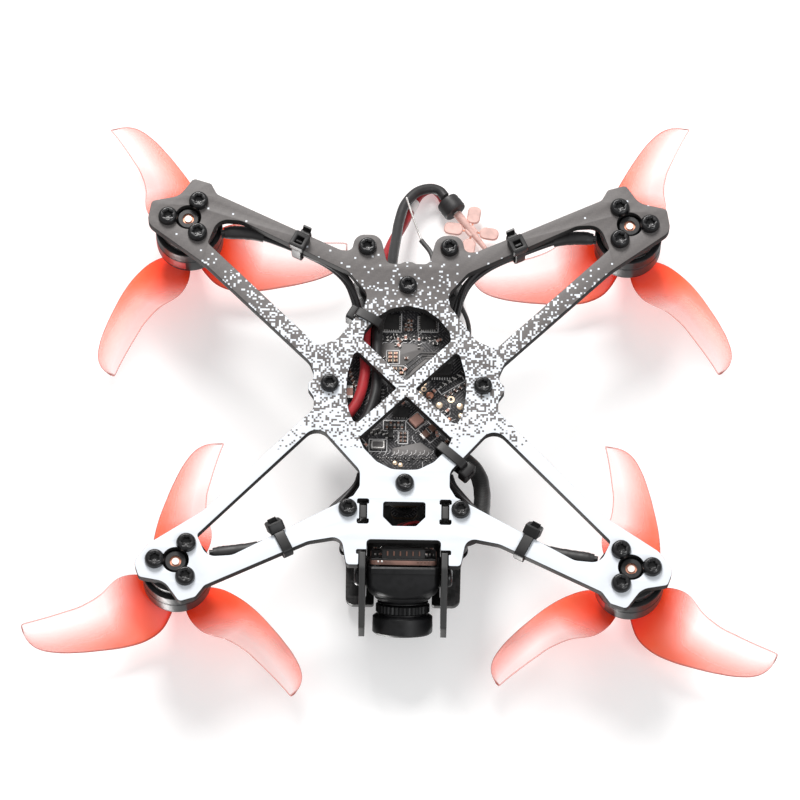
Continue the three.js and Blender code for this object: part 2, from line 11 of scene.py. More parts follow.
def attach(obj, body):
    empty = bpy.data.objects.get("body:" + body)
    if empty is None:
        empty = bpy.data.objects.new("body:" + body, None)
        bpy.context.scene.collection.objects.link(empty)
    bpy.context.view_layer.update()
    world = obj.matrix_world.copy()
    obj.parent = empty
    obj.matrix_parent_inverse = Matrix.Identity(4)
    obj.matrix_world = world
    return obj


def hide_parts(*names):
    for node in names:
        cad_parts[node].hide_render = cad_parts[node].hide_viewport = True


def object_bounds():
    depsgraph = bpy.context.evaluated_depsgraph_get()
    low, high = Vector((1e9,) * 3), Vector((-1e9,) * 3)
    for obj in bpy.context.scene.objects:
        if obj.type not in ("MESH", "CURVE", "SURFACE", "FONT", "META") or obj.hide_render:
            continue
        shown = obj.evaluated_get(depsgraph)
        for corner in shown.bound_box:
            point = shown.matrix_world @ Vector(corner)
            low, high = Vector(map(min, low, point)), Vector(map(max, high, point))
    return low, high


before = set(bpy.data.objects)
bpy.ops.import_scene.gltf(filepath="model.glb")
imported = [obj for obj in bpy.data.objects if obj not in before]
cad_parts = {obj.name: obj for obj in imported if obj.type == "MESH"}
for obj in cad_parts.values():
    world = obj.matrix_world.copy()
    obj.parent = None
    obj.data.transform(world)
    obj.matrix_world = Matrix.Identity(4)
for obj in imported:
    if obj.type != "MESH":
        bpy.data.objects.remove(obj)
CAD_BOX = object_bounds()
MM = 0.001
SCENE = bpy.context.scene
COLLECTION = SCENE.collection
TAU = 2 * math.pi

# dimensions shared with the model
MOTOR_X, MOTOR_Y = 44.2, 36.7
PLATE_T = 2.0
TOP_Z, TOP_T = 20.0, 1.5
PROP_R, PROP_Z = 31.8, 15.6
CAM_Y, CAM_Z = -35.5, 10.5
FC_Z, VTX_Z, BOARD_T = 5.0, 11.5, 1.2
STANDOFFS = {
    "rear_left": (8.2, 30.7), "rear_right": (-8.2, 30.7),
    "front_left": (11.0, -25.4), "front_right": (-11.0, -25.4),
}
BOARD_MOUNTS = {"left": (15.1, 0.9), "right": (-15.1, 0.9), "rear": (0, 22.4), "front": (0, -20.0)}
# side, end, turn direction seen from above, phase of the first blade in degrees
MOTORS = {
    "front_left": (1, -1, -1, 103.2),
    "front_right": (-1, -1, 1, 83.6),
    "rear_left": (1, 1, 1, 58.2),
    "rear_right": (-1, 1, -1, 113.2),
}


# ------------------------------------------------------------------ camera
VIEW_DISTANCE = 0.898
VIEW_BELOW = math.radians(66.84)
VIEW_ROLL = math.radians(0.94)


def add_camera():
    data = bpy.data.cameras.new("camera")
    data.sensor_width = 36
    data.lens = 205.2
    data.shift_x = -0.0078
    data.shift_y = -0.0134
    data.clip_start = 0.01
    data.clip_end = 20
    obj = bpy.data.objects.new("camera", data)
    COLLECTION.objects.link(obj)
    back = Vector((0, -math.cos(VIEW_BELOW), -math.sin(VIEW_BELOW)))
    up = Vector((0, math.sin(VIEW_BELOW), -math.cos(VIEW_BELOW)))
    right = up.cross(back)
    c, s = math.cos(VIEW_ROLL), math.sin(VIEW_ROLL)
    right, up = right * c + up * s, up * c - right * s
    place = Matrix((right, up, back)).transposed().to_4x4()
    place.translation = back * VIEW_DISTANCE
    obj.matrix_world = place
    SCENE.camera = obj


add_camera()


# ------------------------------------------------------------------ geometry
def shift(x, y=0.0, z=0.0):
    return Matrix.Translation((x, y, z))


def turn(degrees, axis="Z"):
    return Matrix.Rotation(math.radians(degrees), 4, axis)


def smooth_path(points, per=6):
    """Centripetal Catmull-Rom curve through the points."""
    p = [Vector(q) for q in points]
    p = [2 * p[0] - p[1]] + p + [2 * p[-1] - p[-2]]
    out = []
    for i in range(1, len(p) - 2):
        t = [0.0]
        for a, b in zip(p[i - 1 : i + 2], p[i : i + 3]):
            t.append(t[-1] + max(1e-6, (b - a).length) ** 0.5)
        for k in range(per):
            u = t[1] + (t[2] - t[1]) * k / per
            a1 = p[i - 1].lerp(p[i], (u - t[0]) / (t[1] - t[0]))
            a2 = p[i].lerp(p[i + 1], (u - t[1]) / (t[2] - t[1]))
            a3 = p[i + 1].lerp(p[i + 2], (u - t[2]) / (t[3] - t[2]))
            b1 = a1.lerp(a2, (u - t[0]) / (t[2] - t[0]))
            b2 = a2.lerp(a3, (u - t[1]) / (t[3] - t[1]))
            out.append(b1.lerp(b2, (u - t[1]) / (t[2] - t[1])))
    out.append(p[-2])
    return out


def rounded(corners, steps=9):
    """Outline through corners [x, y, fillet], with each fillet drawn as an arc."""
    out = []
    n = len(corners)
    for i, (x, y, fillet) in enumerate(corners):
        p = Vector((x, y))
        u = Vector(corners[i - 1][:2]) - p
        v = Vector(corners[(i + 1) % n][:2]) - p
        lu, lv = u.length, v.length
        u.normalize()
        v.normalize()
        angle = u.angle(v)
        if math.pi - angle < 1e-3:
            continue
        reach = min(fillet / math.tan(angle / 2), lu * 0.49, lv * 0.49)
        if fillet == 0 or reach < 0.02 or math.pi - angle < 0.06:
            out.append((x, y))
            continue
        radius = reach * math.tan(angle / 2)
        centre = p + (u + v).normalized() * (radius / math.sin(angle / 2))
        a, b = p + u * reach - centre, p + v * reach - centre
        sweep = math.pi - angle
        for k in range(steps + 1):
            f = k / steps
            q = (a * math.sin((1 - f) * sweep) + b * math.sin(f * sweep)) / math.sin(sweep)
            out.append(tuple(centre + q))
    return out


def mirrored(half):
    return half + [(-x, y, r) for x, y, r in reversed(half) if abs(x) > 1e-9]


def flip(corners):
    return [(-x, y, r) for x, y, r in corners]


def disc(x, y, r, n=32):
    return [(x + r * math.cos(TAU * k / n), y + r * math.sin(TAU * k / n)) for k in range(n)]


def box_ring(w, d, corner, z=0.0, steps=3):
    c = max(0.001, min(corner, w / 2, d / 2))
    out = []
    for q, (sx, sy) in enumerate(((1, 1), (-1, 1), (-1, -1), (1, -1))):
        for k in range(steps + 1):
            t = (q + k / steps) * math.pi / 2
            out.append((sx * (w / 2 - c) + c * math.cos(t), sy * (d / 2 - c) + c * math.sin(t), z))
    return out


class Shape:
    """Collects lofted, turned and swept forms into one mesh."""

    def __init__(self):
        self.verts, self.faces, self.kinds = [], [], []

    def raw(self, verts, faces, place=None, kind=0):
        base = len(self.verts)
        self.verts += [place @ Vector(v) if place else Vector(v) for v in verts]
        self.faces += [tuple(base + i for i in f) for f in faces]
        self.kinds += [kind] * len(faces)
        return self

    def loft(self, rings, place=None, closed=False, kind=0):
        n, m = len(rings[0]), len(rings)
        faces = []
        for i in range(m if closed else m - 1):
            a, b = i * n, (i + 1) % m * n
            faces += [(a + k, a + (k + 1) % n, b + (k + 1) % n, b + k) for k in range(n)]
        if not closed:
            faces.append(tuple(reversed(range(n))))
            faces.append(tuple((m - 1) * n + k for k in range(n)))
        return self.raw([p for ring in rings for p in ring], faces, place, kind)

    def lathe(self, profile, segments=48, place=None, closed=False, kind=0):
        """Profile points are (r, z), or (r, z, lobe) with lobe(angle) scaling the radius."""
        rings = []
        for r, z, *lobe in profile:
            ring = []
            for k in range(segments):
                t = TAU * k / segments
                s = max(r, 0.002) * (lobe[0](t) if lobe else 1)
                ring.append((s * math.cos(t), s * math.sin(t), z))
            rings.append(ring)
        return self.loft(rings, place, closed, kind)

    def block(self, size, at=(0, 0, 0), edge=0.06, corner=None, place=None, kind=0):
        w, d, h = size
        c = edge if corner is None else corner
        rings = [
            box_ring(w - 2 * e, d - 2 * e, c - e, z)
            for e, z in ((edge, -h / 2), (0, edge - h / 2), (0, h / 2 - edge), (edge, h / 2))
        ]
        move = shift(*at)
        return self.loft(rings, place @ move if place else move, kind=kind)

    def tube(self, points, radius, sides=14, place=None, kind=0, closed=False, flat=1.0):
        """Round tube along points. radius is a number or one per point."""
        p = [Vector(q) for q in points]
        n = len(p)
        normal = None
        rings = []
        for i in range(n):
            if closed:
                along = (p[(i + 1) % n] - p[i - 1]).normalized()
            else:
                along = (p[min(i + 1, n - 1)] - p[max(i - 1, 0)]).normalized()
            if normal is None:
                normal = along.orthogonal().normalized()
                if abs(along.z) < 0.9:
                    normal = (Vector((0, 0, 1)) - along * along.z).normalized()
            normal = (normal - along * normal.dot(along)).normalized()
            side = along.cross(normal)
            r = radius[i] if isinstance(radius, (list, tuple)) else radius
            rings.append([
                p[i] + normal * (r * flat * math.cos(TAU * k / sides))
                + side * (r * math.sin(TAU * k / sides))
                for k in range(sides)
            ])
        return self.loft(rings, place, closed, kind)

    def band(self, points, width, thick, across, closed=True):
        """Flat strap along a path. across is the direction of its width."""
        p = [Vector(q) for q in points]
        n = len(p)
        wide = Vector(across).normalized()
        rings = []
        for i in range(n):
            a, b = p[i - 1], p[(i + 1) % n]
            if not closed:
                a, b = p[max(0, i - 1)], p[min(n - 1, i + 1)]
            out = (b - a).cross(wide).normalized()
            h, t, c = width / 2, thick / 2, thick * 0.3
            rings.append([
                p[i] + wide * x + out * y
                for x, y in (
                    (h - c, -t), (h, c - t), (h, t - c), (h - c, t), (c - h, t), (-h, t - c), (-h, c - t),
                    (c - h, -t),
                )
            ])
        return self.loft(rings, closed=closed)

    def slab(self, outline, holes=(), z0=0.0, z1=1.0, edge=0.1, place=None, kind=0):
        """Flat plate with an outline, holes and small rounded edges."""
        curve = bpy.data.curves.new("slab", "CURVE")
        curve.dimensions = "2D"
        curve.fill_mode = "BOTH"
        curve.extrude = (z1 - z0) / 2 - edge
        curve.bevel_depth = edge
        curve.bevel_resolution = 2
        curve.offset = -edge
        for loop in [outline, *holes]:
            area = sum(a[0] * b[1] - b[0] * a[1] for a, b in zip(loop, loop[1:] + loop[:1]))
            if (area > 0) != (loop is outline):
                loop = loop[::-1]
            spline = curve.splines.new("POLY")
            spline.points.add(len(loop) - 1)
            for point, (x, y) in zip(spline.points, loop):
                point.co = (x, y, 0, 1)
            spline.use_cyclic_u = True
        obj = bpy.data.objects.new("slab", curve)
        COLLECTION.objects.link(obj)
        bpy.context.view_layer.update()
        mesh = obj.evaluated_get(bpy.context.evaluated_depsgraph_get()).to_mesh()
        lift = shift(0, 0, (z0 + z1) / 2)
        self.raw(
            [v.co.copy() for v in mesh.vertices],
            [tuple(f.vertices) for f in mesh.polygons],
            place @ lift if place else lift,
            kind,
        )
        bpy.data.objects.remove(obj)
        bpy.data.curves.remove(curve)
        return self

    def mesh(self, name, materials, smooth=32):
        data = bpy.data.meshes.new(name)
        data.from_pydata([v * MM for v in self.verts], [], self.faces)
        data.polygons.foreach_set("material_index", self.kinds)
        work = bmesh.new()
        work.from_mesh(data)
        bmesh.ops.remove_doubles(work, verts=work.verts, dist=1e-7)
        bmesh.ops.recalc_face_normals(work, faces=work.faces)
        work.to_mesh(data)
        work.free()
        for material in materials:
            data.materials.append(material)
        data.shade_smooth()
        data.set_sharp_from_angle(angle=math.radians(smooth))
        return data


def put(name, data, body, replaces=(), place=None):
    """Links one piece, in place, riding its body."""
    obj = bpy.data.objects.new(name, data)
    COLLECTION.objects.link(obj)
    if place is not None:
        place = place.copy()
        place.translation *= MM
        obj.matrix_world = place
    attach(obj, body)
    if replaces:
        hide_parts(*replaces)
    return obj


def piece(name, shape, materials, body, replaces=(), place=None, smooth=32):
    """Makes a shape into a piece."""
    if not isinstance(materials, (list, tuple)):
        materials = [materials]
    return put(name, shape.mesh(name, materials, smooth), body, replaces, place)


def lead(name, points, radius, material, body, replaces=()):
    """Round lead as a curve: its own line is its centreline."""
    curve = bpy.data.curves.new(name, "CURVE")
    curve.dimensions = "3D"
    curve.bevel_depth = radius * MM
    curve.bevel_resolution = 6
    curve.use_fill_caps = True
    path = smooth_path(points, 8)
    spline = curve.splines.new("POLY")
    spline.points.add(len(path) - 1)
    for point, q in zip(spline.points, path):
        point.co = (*(q * MM), 1)
    spline.use_smooth = True
    curve.materials.append(material)
    obj = put(name, curve, body, replaces)
    length = sum((b - a).length for a, b in zip(path, path[1:])) * MM
    return obj, path, length


# ------------------------------------------------------------------ materials
class Nodes:
    """A small helper round one material's node tree."""

    def __init__(self, name):
        self.material = bpy.data.materials.new(name)
        self.material.use_nodes = True
        self.tree = self.material.node_tree
        self.bsdf = self.tree.nodes["Principled BSDF"]

    def node(self, kind, **values):
        n = self.tree.nodes.new(kind)
        for key, value in values.items():
            setattr(n, key, value)
        return n

    def plug(self, value, socket):
        if isinstance(value, bpy.types.NodeSocket):
            self.tree.links.new(value, socket)
        else:
            socket.default_value = value

    def math(self, operation, a, b=0.0, c=0.0):
        n = self.node("ShaderNodeMath", operation=operation)
        for socket, value in zip(n.inputs, (a, b, c)):
            self.plug(value, socket)
        return n.outputs[0]

    def mix(self, fac, a, b):
        n = self.node("ShaderNodeMix", data_type="RGBA")
        self.plug(fac, n.inputs[0])
        self.plug(shade(a), n.inputs[6])
        self.plug(shade(b), n.inputs[7])
        return n.outputs[2]

    def coords(self):
        return self.node("ShaderNodeTexCoord").outputs["Object"]

    def normal(self):
        return self.split(self.node("ShaderNodeTexCoord").outputs["Normal"])

    def split(self, vector):
        n = self.node("ShaderNodeSeparateXYZ")
        self.plug(vector, n.inputs[0])
        return n.outputs

    def join(self, x, y, z=0.0):
        n = self.node("ShaderNodeCombineXYZ")
        for socket, value in zip(n.inputs, (x, y, z)):
            self.plug(value, socket)
        return n.outputs[0]

    def noise(self, vector, size, detail=2.0, roughness=0.5):
        n = self.node("ShaderNodeTexNoise")
        self.plug(vector, n.inputs["Vector"])
        n.inputs["Scale"].default_value = 1 / (size * MM)
        n.inputs["Detail"].default_value = detail
        n.inputs["Roughness"].default_value = roughness
        return n.outputs["Fac"]

    def white(self, vector):
        n = self.node("ShaderNodeTexWhiteNoise", noise_dimensions="3D")
        self.plug(vector, n.inputs["Vector"])
        return n.outputs["Value"]

    def ramp(self, fac, stops):
        n = self.node("ShaderNodeValToRGB")
        elements = n.color_ramp.elements
        while len(elements) < len(stops):
            elements.new(0.5)
        for element, (at, value) in zip(elements, stops):
            element.position = at
            element.color = shade(value)
        self.plug(fac, n.inputs[0])
        return n.outputs["Color"]

    def span(self, value, low, high, to_low=0.0, to_high=1.0):
        n = self.node("ShaderNodeMapRange", clamp=True)
        for socket, v in zip(n.inputs, (value, low, high, to_low, to_high)):
            self.plug(v, socket)
        return n.outputs[0]

    def attribute(self, name):
        return self.node("ShaderNodeAttribute", attribute_name=name).outputs["Fac"]

    def bump(self, height, strength, depth):
        n = self.node("ShaderNodeBump")
        n.inputs["Strength"].default_value = strength
        n.inputs["Distance"].default_value = depth * MM
        self.plug(height, n.inputs["Height"])
        self.plug(n.outputs[0], self.bsdf.inputs["Normal"])

    def set(self, **values):
        for key, value in values.items():
            socket = self.bsdf.inputs[key.replace("_", " ")]
            self.plug(shade(value) if socket.type == "RGBA" else value, socket)


def shade(value):
    """A grey level or a colour as RGBA. Sockets pass through."""
    if isinstance(value, (int, float)):
        value = (value,) * 3
    return (*value, 1.0) if isinstance(value, tuple) and len(value) == 3 else value


def grained(name, colour, rough, metal=0.0, size=0.35, depth=0.02, vary=0.25, **extra):
    """Moulded, blasted or oxidised surface: fine grain, uneven tone and gloss."""
    n = Nodes(name)
    at = n.coords()
    cloud = n.noise(at, size * 9, 3)
    n.set(Base_Color=n.mix(
        n.span(cloud, 0.3, 0.7),
        tuple(c * (1 - vary) for c in colour),
        tuple(min(1, c * (1 + vary)) for c in colour),
    ))
    n.set(Metallic=metal, Roughness=n.span(cloud, 0.3, 0.7, rough * 0.85, min(1, rough * 1.2)), **extra)
    n.bump(n.noise(at, size, 2), 0.5, depth)
    return n.material


def twill(n, x, y, tow):
    """2x2 twill: 1 where the warp tow is on top, and the crown of each tow."""
    u, v = n.math("DIVIDE", x, tow * MM), n.math("DIVIDE", y, tow * MM)
    stair = n.math("ADD", n.math("FLOOR", u), n.math("FLOOR", v))
    warp = n.math("LESS_THAN", n.math("FLOORED_MODULO", stair, 4.0), 1.5)
    du = n.math("ABSOLUTE", n.math("SUBTRACT", n.math("FRACT", u), 0.5))
    dv = n.math("ABSOLUTE", n.math("SUBTRACT", n.math("FRACT", v), 0.5))
    across = n.math("MULTIPLY_ADD", warp, n.math("SUBTRACT", du, dv), dv)
    return warp, n.math("SUBTRACT", 0.5, across)


def carbon(name, plane):
    """Black carbon plate: twill weave under a satin resin, with matt layered cut edges."""
    n = Nodes(name)
    x, y, z = n.split(n.coords())
    nx, _, nz = n.normal()
    a, b, depth, face = (x, y, z, nz) if plane == "XY" else (y, z, x, nx)
    warp, crown = twill(n, a, b, 0.8)
    flat = n.math("GREATER_THAN", n.math("ABSOLUTE", face), 0.7)
    fibre = n.noise(n.join(a, n.math("MULTIPLY", b, 9.0), depth), 0.6)
    tow = n.mix(warp, 0.013, 0.03)
    tow = n.mix(n.math("MULTIPLY", fibre, 0.5), tow, 0.05)
    layers = n.math("FRACT", n.math("DIVIDE", depth, 0.25 * MM))
    edge = n.mix(n.span(layers, 0.3, 0.7), 0.03, 0.06)
    n.set(Base_Color=n.mix(flat, edge, tow), Coat_Weight=0.25, Coat_Roughness=0.25)
    n.set(Roughness=n.math("MULTIPLY_ADD", flat, -0.28, 0.68))
    n.bump(n.math("MULTIPLY", crown, flat), 0.35, 0.08)
    return n.material


def printed_plate():
    """Carbon plate with a pixel print on its underside: white at the front, breaking up into
    bare grey carbon towards the rear. Cut edges are dark."""
    cell = 0.385
    n = Nodes("printed_plate")
    at = n.coords()
    x, y, z = n.split(at)
    nz = n.normal()[2]

    def blocks(width, depth, seed):
        u, v = n.math("DIVIDE", x, width * cell * MM), n.math("DIVIDE", y, depth * cell * MM)
        return n.white(n.join(n.math("FLOOR", u), n.math("FLOOR", v), seed))

    speck = n.math("MULTIPLY", blocks(1, 1, 0.5), 0.66)
    speck = n.math("MULTIPLY_ADD", blocks(2, 1, 7.5), 0.12, speck)
    speck = n.math("MULTIPLY_ADD", blocks(1, 2, 5.5), 0.12, speck)
    speck = n.math("MULTIPLY_ADD", blocks(5, 4, 3.5), 0.10, speck)
    share = n.ramp(n.span(y, -0.016, 0.036), [
        (0.0, 0.0), (0.05, 0.12), (0.12, 0.31), (0.20, 0.43), (0.36, 0.475), (0.50, 0.52), (0.58, 0.575),
        (0.66, 0.67), (0.76, 0.77), (0.88, 0.87), (1.0, 0.92),
    ])
    dark = n.math("LESS_THAN", speck, share)
    weave, crown = twill(n, x, y, 0.55)
    fine = n.noise(at, 0.3, 3, 0.7)
    streak = n.noise(n.join(n.math("MULTIPLY", x, 0.25), y, z), 0.2)
    bare = n.mix(fine, (0.08, 0.072, 0.071), (0.16, 0.147, 0.143))
    bare = n.mix(n.math("MULTIPLY", streak, 0.5), bare, (0.18, 0.167, 0.163))
    bare = n.mix(n.math("MULTIPLY", weave, 0.16), bare, (0.075, 0.071, 0.072))
    ink = n.mix(n.noise(at, 3), (0.71, 0.755, 0.81), (0.77, 0.80, 0.845))
    under = n.math("LESS_THAN", nz, -0.85)
    over = n.math("GREATER_THAN", nz, 0.85)
    layers = n.math("FRACT", n.math("DIVIDE", z, 0.28 * MM))
    cut = n.mix(n.span(layers, 0.35, 0.65), (0.016, 0.0155, 0.0155), (0.032, 0.031, 0.031))
    face = n.mix(dark, ink, bare)
    n.set(Base_Color=n.mix(under, n.mix(over, cut, n.mix(weave, 0.016, 0.034)), face))
    n.set(Roughness=n.math("MULTIPLY_ADD", under, -0.2, 0.7), Specular_IOR_Level=0.35)
    relief = n.math("MULTIPLY_ADD", crown, 0.35, n.math("MULTIPLY", fine, 0.3))
    n.bump(n.math("SUBTRACT", relief, n.math("MULTIPLY", dark, 0.25)), 0.3, 0.06)
    return n.material


def board():
    """Black solder mask: etched traces show as a slightly raised, paler maze."""
    n = Nodes("board")
    at = n.coords()
    x, y, _ = n.split(at)
    nz = n.normal()[2]
    a = n.math("ADD", x, y)
    b = n.math("SUBTRACT", x, y)
    region = n.noise(at, 5, 1)
    cells = n.node("ShaderNodeTexVoronoi", distance="CHEBYCHEV", feature="F1")
    n.plug(at, cells.inputs["Vector"])
    cells.inputs["Scale"].default_value = 700
    maze = n.math("FRACT", n.math("MULTIPLY", cells.outputs["Distance"], 3.0))
    lines = n.math("FRACT", n.math("DIVIDE", n.mix(n.math("GREATER_THAN", region, 0.5), a, b), 0.7 * MM))
    trace = n.math("MULTIPLY", n.math("GREATER_THAN", lines, 0.6), n.math("LESS_THAN", maze, 0.55))
    mask = n.mix(n.span(region, 0.35, 0.65), (0.010, 0.010, 0.012), (0.032, 0.031, 0.034))
    tone = n.mix(trace, mask, (0.13, 0.125, 0.13))
    flat = n.math("GREATER_THAN", n.math("ABSOLUTE", nz), 0.8)
    n.set(Base_Color=n.mix(flat, (0.05, 0.035, 0.02), tone), Roughness=0.45, Specular_IOR_Level=0.4)
    n.bump(trace, 0.4, 0.04)
    return n.material


def propeller_plastic():
    """Clear tinted plastic: deep red orange at the root and along the leading side. The trailing side
    and the middle of each blade are made almost clear as a painted reflection, the dark saturated outline
    is painted shade where light bends at the blade's edges, and a faint emission is a painted glow."""
    n = Nodes("propeller_plastic")
    span, rim, chord = n.attribute("span"), n.attribute("rim"), n.attribute("chord")
    cloud = n.noise(n.coords(), 9, 2)
    wide = n.math("MULTIPLY_ADD", n.math("SUBTRACT", cloud, 0.5), 0.16, span)
    colour = n.ramp(wide, [
        (0.0, (0.80, 0.010, 0.006)), (0.15, (0.96, 0.055, 0.016)), (0.32, (1.0, 0.13, 0.045)),
        (0.6, (1.0, 0.18, 0.09)), (1.0, (0.95, 0.22, 0.16)),
    ])
    body = n.ramp(wide, [
        (0.0, 0.97), (0.16, 0.95), (0.28, 0.86), (0.42, 0.70), (0.6, 0.56), (0.8, 0.46), (1.0, 0.40),
    ])
    # painted reflection: alpha is lowered on the trailing side and the middle of each blade, so they look
    # whitened
    trailing_reflection = n.math("MULTIPLY", n.span(chord, 0.12, 0.7), n.span(span, 0.16, 0.42, 0.0, 0.88))
    painted_reflection = n.math(
        "MAXIMUM", trailing_reflection, n.math("MULTIPLY", n.span(rim, 0.2, 0.9), n.span(span, 0.25, 0.6, 0.0, 0.38))
    )
    alpha = n.math("MULTIPLY", body, n.math("SUBTRACT", 1.0, painted_reflection))
    # painted shade: a dark outline where light bends at the blade's edges
    line = n.math("MULTIPLY", n.span(rim, 0.02, 0.075, 1.0, 0.0), n.span(chord, 0.5, 1.0, 1.0, 0.6))
    alpha = n.math("MAXIMUM", alpha, n.math("MULTIPLY", line, 0.85))
    n.set(Base_Color=n.mix(n.math("MULTIPLY", line, 0.85), colour, (0.25, 0.04, 0.03)), Alpha=alpha)
    # painted glow: a faint emission stands for light passing through the plastic
    n.set(Emission_Color=colour, Emission_Strength=0.12)
    n.set(Roughness=n.span(cloud, 0.3, 0.7, 0.18, 0.28), Specular_IOR_Level=0.35)
    n.bump(n.noise(n.coords(), 1.6, 2), 0.12, 0.03)
    return n.material


def rubberised(name, colour, rough=0.5, **extra):
    return grained(name, colour, rough, size=0.25, depth=0.015, vary=0.18, **extra)


PRINTED = printed_plate()
CARBON = carbon("carbon_flat", "XY")
CARBON_SIDE = carbon("carbon_side", "YZ")
BLACK_OXIDE = grained(
    "black_oxide", (0.008, 0.008, 0.009), 0.24, metal=0.15, size=0.2, depth=0.012, vary=0.4
)
ANODISED = grained("anodised_black", (0.012, 0.012, 0.013), 0.36, metal=0.15, size=0.15, depth=0.01)
STEEL = grained("steel", (0.62, 0.58, 0.55), 0.22, metal=1.0, size=0.2, depth=0.01, vary=0.12)
SHAFT_END = grained("shaft_end", (0.95, 0.80, 0.74), 0.4, metal=0.4, size=0.2, depth=0.01, vary=0.06)
MAGNET = grained("magnet", (0.42, 0.42, 0.42), 0.4, metal=0.5, size=0.3, depth=0.01, vary=0.2)
CORE = grained("core", (0.03, 0.028, 0.028), 0.5, size=0.3, depth=0.02)
BAND_RED = grained("band_red", (0.62, 0.02, 0.02), 0.35, size=0.4, depth=0.01)
BAND_GREY = grained("band_grey", (0.035, 0.034, 0.036), 0.35, metal=0.2, size=0.4, depth=0.01)
PROP = propeller_plastic()
BOARD = board()
CHIP = grained("chip", (0.014, 0.013, 0.013), 0.55, size=0.12, depth=0.02, vary=0.3)
POUR = grained("copper_under_mask", (0.13, 0.122, 0.12), 0.5, metal=0.1, size=0.5, depth=0.02, vary=0.3)
SOLDER = grained("solder", (0.72, 0.70, 0.68), 0.3, metal=0.8, size=0.25, depth=0.03, vary=0.2)
GOLD = grained("pad_gold", (0.95, 0.72, 0.52), 0.35, metal=0.8, size=0.25, depth=0.01, vary=0.12)
COPPER_PAD = grained("pad_copper", (0.80, 0.36, 0.24), 0.4, metal=0.7, size=0.25, depth=0.01)
CAP_TAN = grained("ceramic_tan", (0.58, 0.31, 0.25), 0.45, size=0.3, depth=0.02, vary=0.18)
CAP_BROWN = grained("ceramic_brown", (0.16, 0.075, 0.05), 0.45, size=0.3, depth=0.02)
SILK = grained("legend_ink", (0.72, 0.71, 0.71), 0.6, size=0.2, depth=0.005, vary=0.15)
NYLON = rubberised("nylon_black", (0.013, 0.0125, 0.013), 0.42, Specular_IOR_Level=0.4)
SILICONE_BLACK = rubberised("silicone_black", (0.018, 0.017, 0.018), 0.45, Sheen_Weight=0.08)
SILICONE_RED = rubberised("silicone_red", (0.37, 0.012, 0.018), 0.55, Sheen_Weight=0.05)
SLEEVE = rubberised("shrink_sleeve", (0.02, 0.019, 0.02), 0.5)
RUBBER = rubberised("damper_rubber", (0.016, 0.016, 0.017), 0.75)
CASE = grained(
    "camera_case", (0.010, 0.010, 0.011), 0.42, size=0.16, depth=0.02, vary=0.3, Specular_IOR_Level=0.3
)
CAMERA_BOARD = grained("camera_board", (0.26, 0.14, 0.11), 0.55, size=0.5, depth=0.05, vary=0.45)
PALE = rubberised("pale_cap", (0.74, 0.47, 0.42), 0.4)
WHITE_BAND = rubberised("white_band", (0.82, 0.78, 0.77), 0.5)
GREY_COAX = rubberised("grey_cable", (0.09, 0.088, 0.088), 0.5)


def woven_camera_sleeve():
    """Braided sleeve: two crossing sets of strands. The black is darker where the strands meet and cross
    under each other: painted shade.
    """
    n = Nodes("braided_sleeve")
    at = n.coords()
    x, y, z = n.split(at)
    a = n.math("FRACT", n.math("DIVIDE", n.math("ADD", x, y), 0.5 * MM))
    b = n.math("FRACT", n.math("DIVIDE", n.math("SUBTRACT", z, y), 0.5 * MM))
    weave = n.math("MULTIPLY", n.math("PINGPONG", a, 0.5), n.math("PINGPONG", b, 0.5))
    # painted shade: darker black along the grooves between strands
    n.set(Base_Color=n.mix(n.math("MULTIPLY", weave, 3.0), 0.012, 0.045), Roughness=0.6, Sheen_Weight=0.1)
    n.bump(weave, 0.3, 0.06)
    return n.material


def windings():
    """Enamelled copper wire: close turns with varnish. The copper is darker in the grooves between turns:
    painted shade.
    """
    n = Nodes("windings")
    at = n.coords()
    x, _, z = n.split(at)
    turns = n.math(
        "PINGPONG",
        n.math("FRACT", n.math("DIVIDE", n.math("ADD", z, n.math("MULTIPLY", x, 0.3)), 0.3 * MM)), 0.5
    )
    # painted shade: darker copper in the grooves between turns
    n.set(Base_Color=n.mix(n.math("MULTIPLY", turns, 2.0), (0.10, 0.03, 0.012), (0.62, 0.24, 0.09)))
    n.set(Metallic=0.8, Roughness=0.35)
    n.bump(turns, 0.6, 0.1)
    return n.material


def glass():
    n = Nodes("lens_glass")
    x, y, _ = n.split(n.coords())
    r = n.math("SQRT", n.math("ADD", n.math("MULTIPLY", x, x), n.math("MULTIPLY", y, y)))
    ring = n.span(r, 0.0, 0.0034)
    n.set(
        Base_Color=n.ramp(
            ring, [(0.0, (0.012, 0.008, 0.03)), (0.5, (0.01, 0.02, 0.03)), (1.0, (0.004, 0.004, 0.005))]
        )
    )
    n.set(Roughness=0.04, Coat_Weight=1.0, Coat_Roughness=0.02, Specular_IOR_Level=0.8)
    n.bump(n.noise(n.coords(), 4, 1), 0.02, 0.01)
    return n.material


BRAID = woven_camera_sleeve()
WINDING = windings()
GLASS = glass()


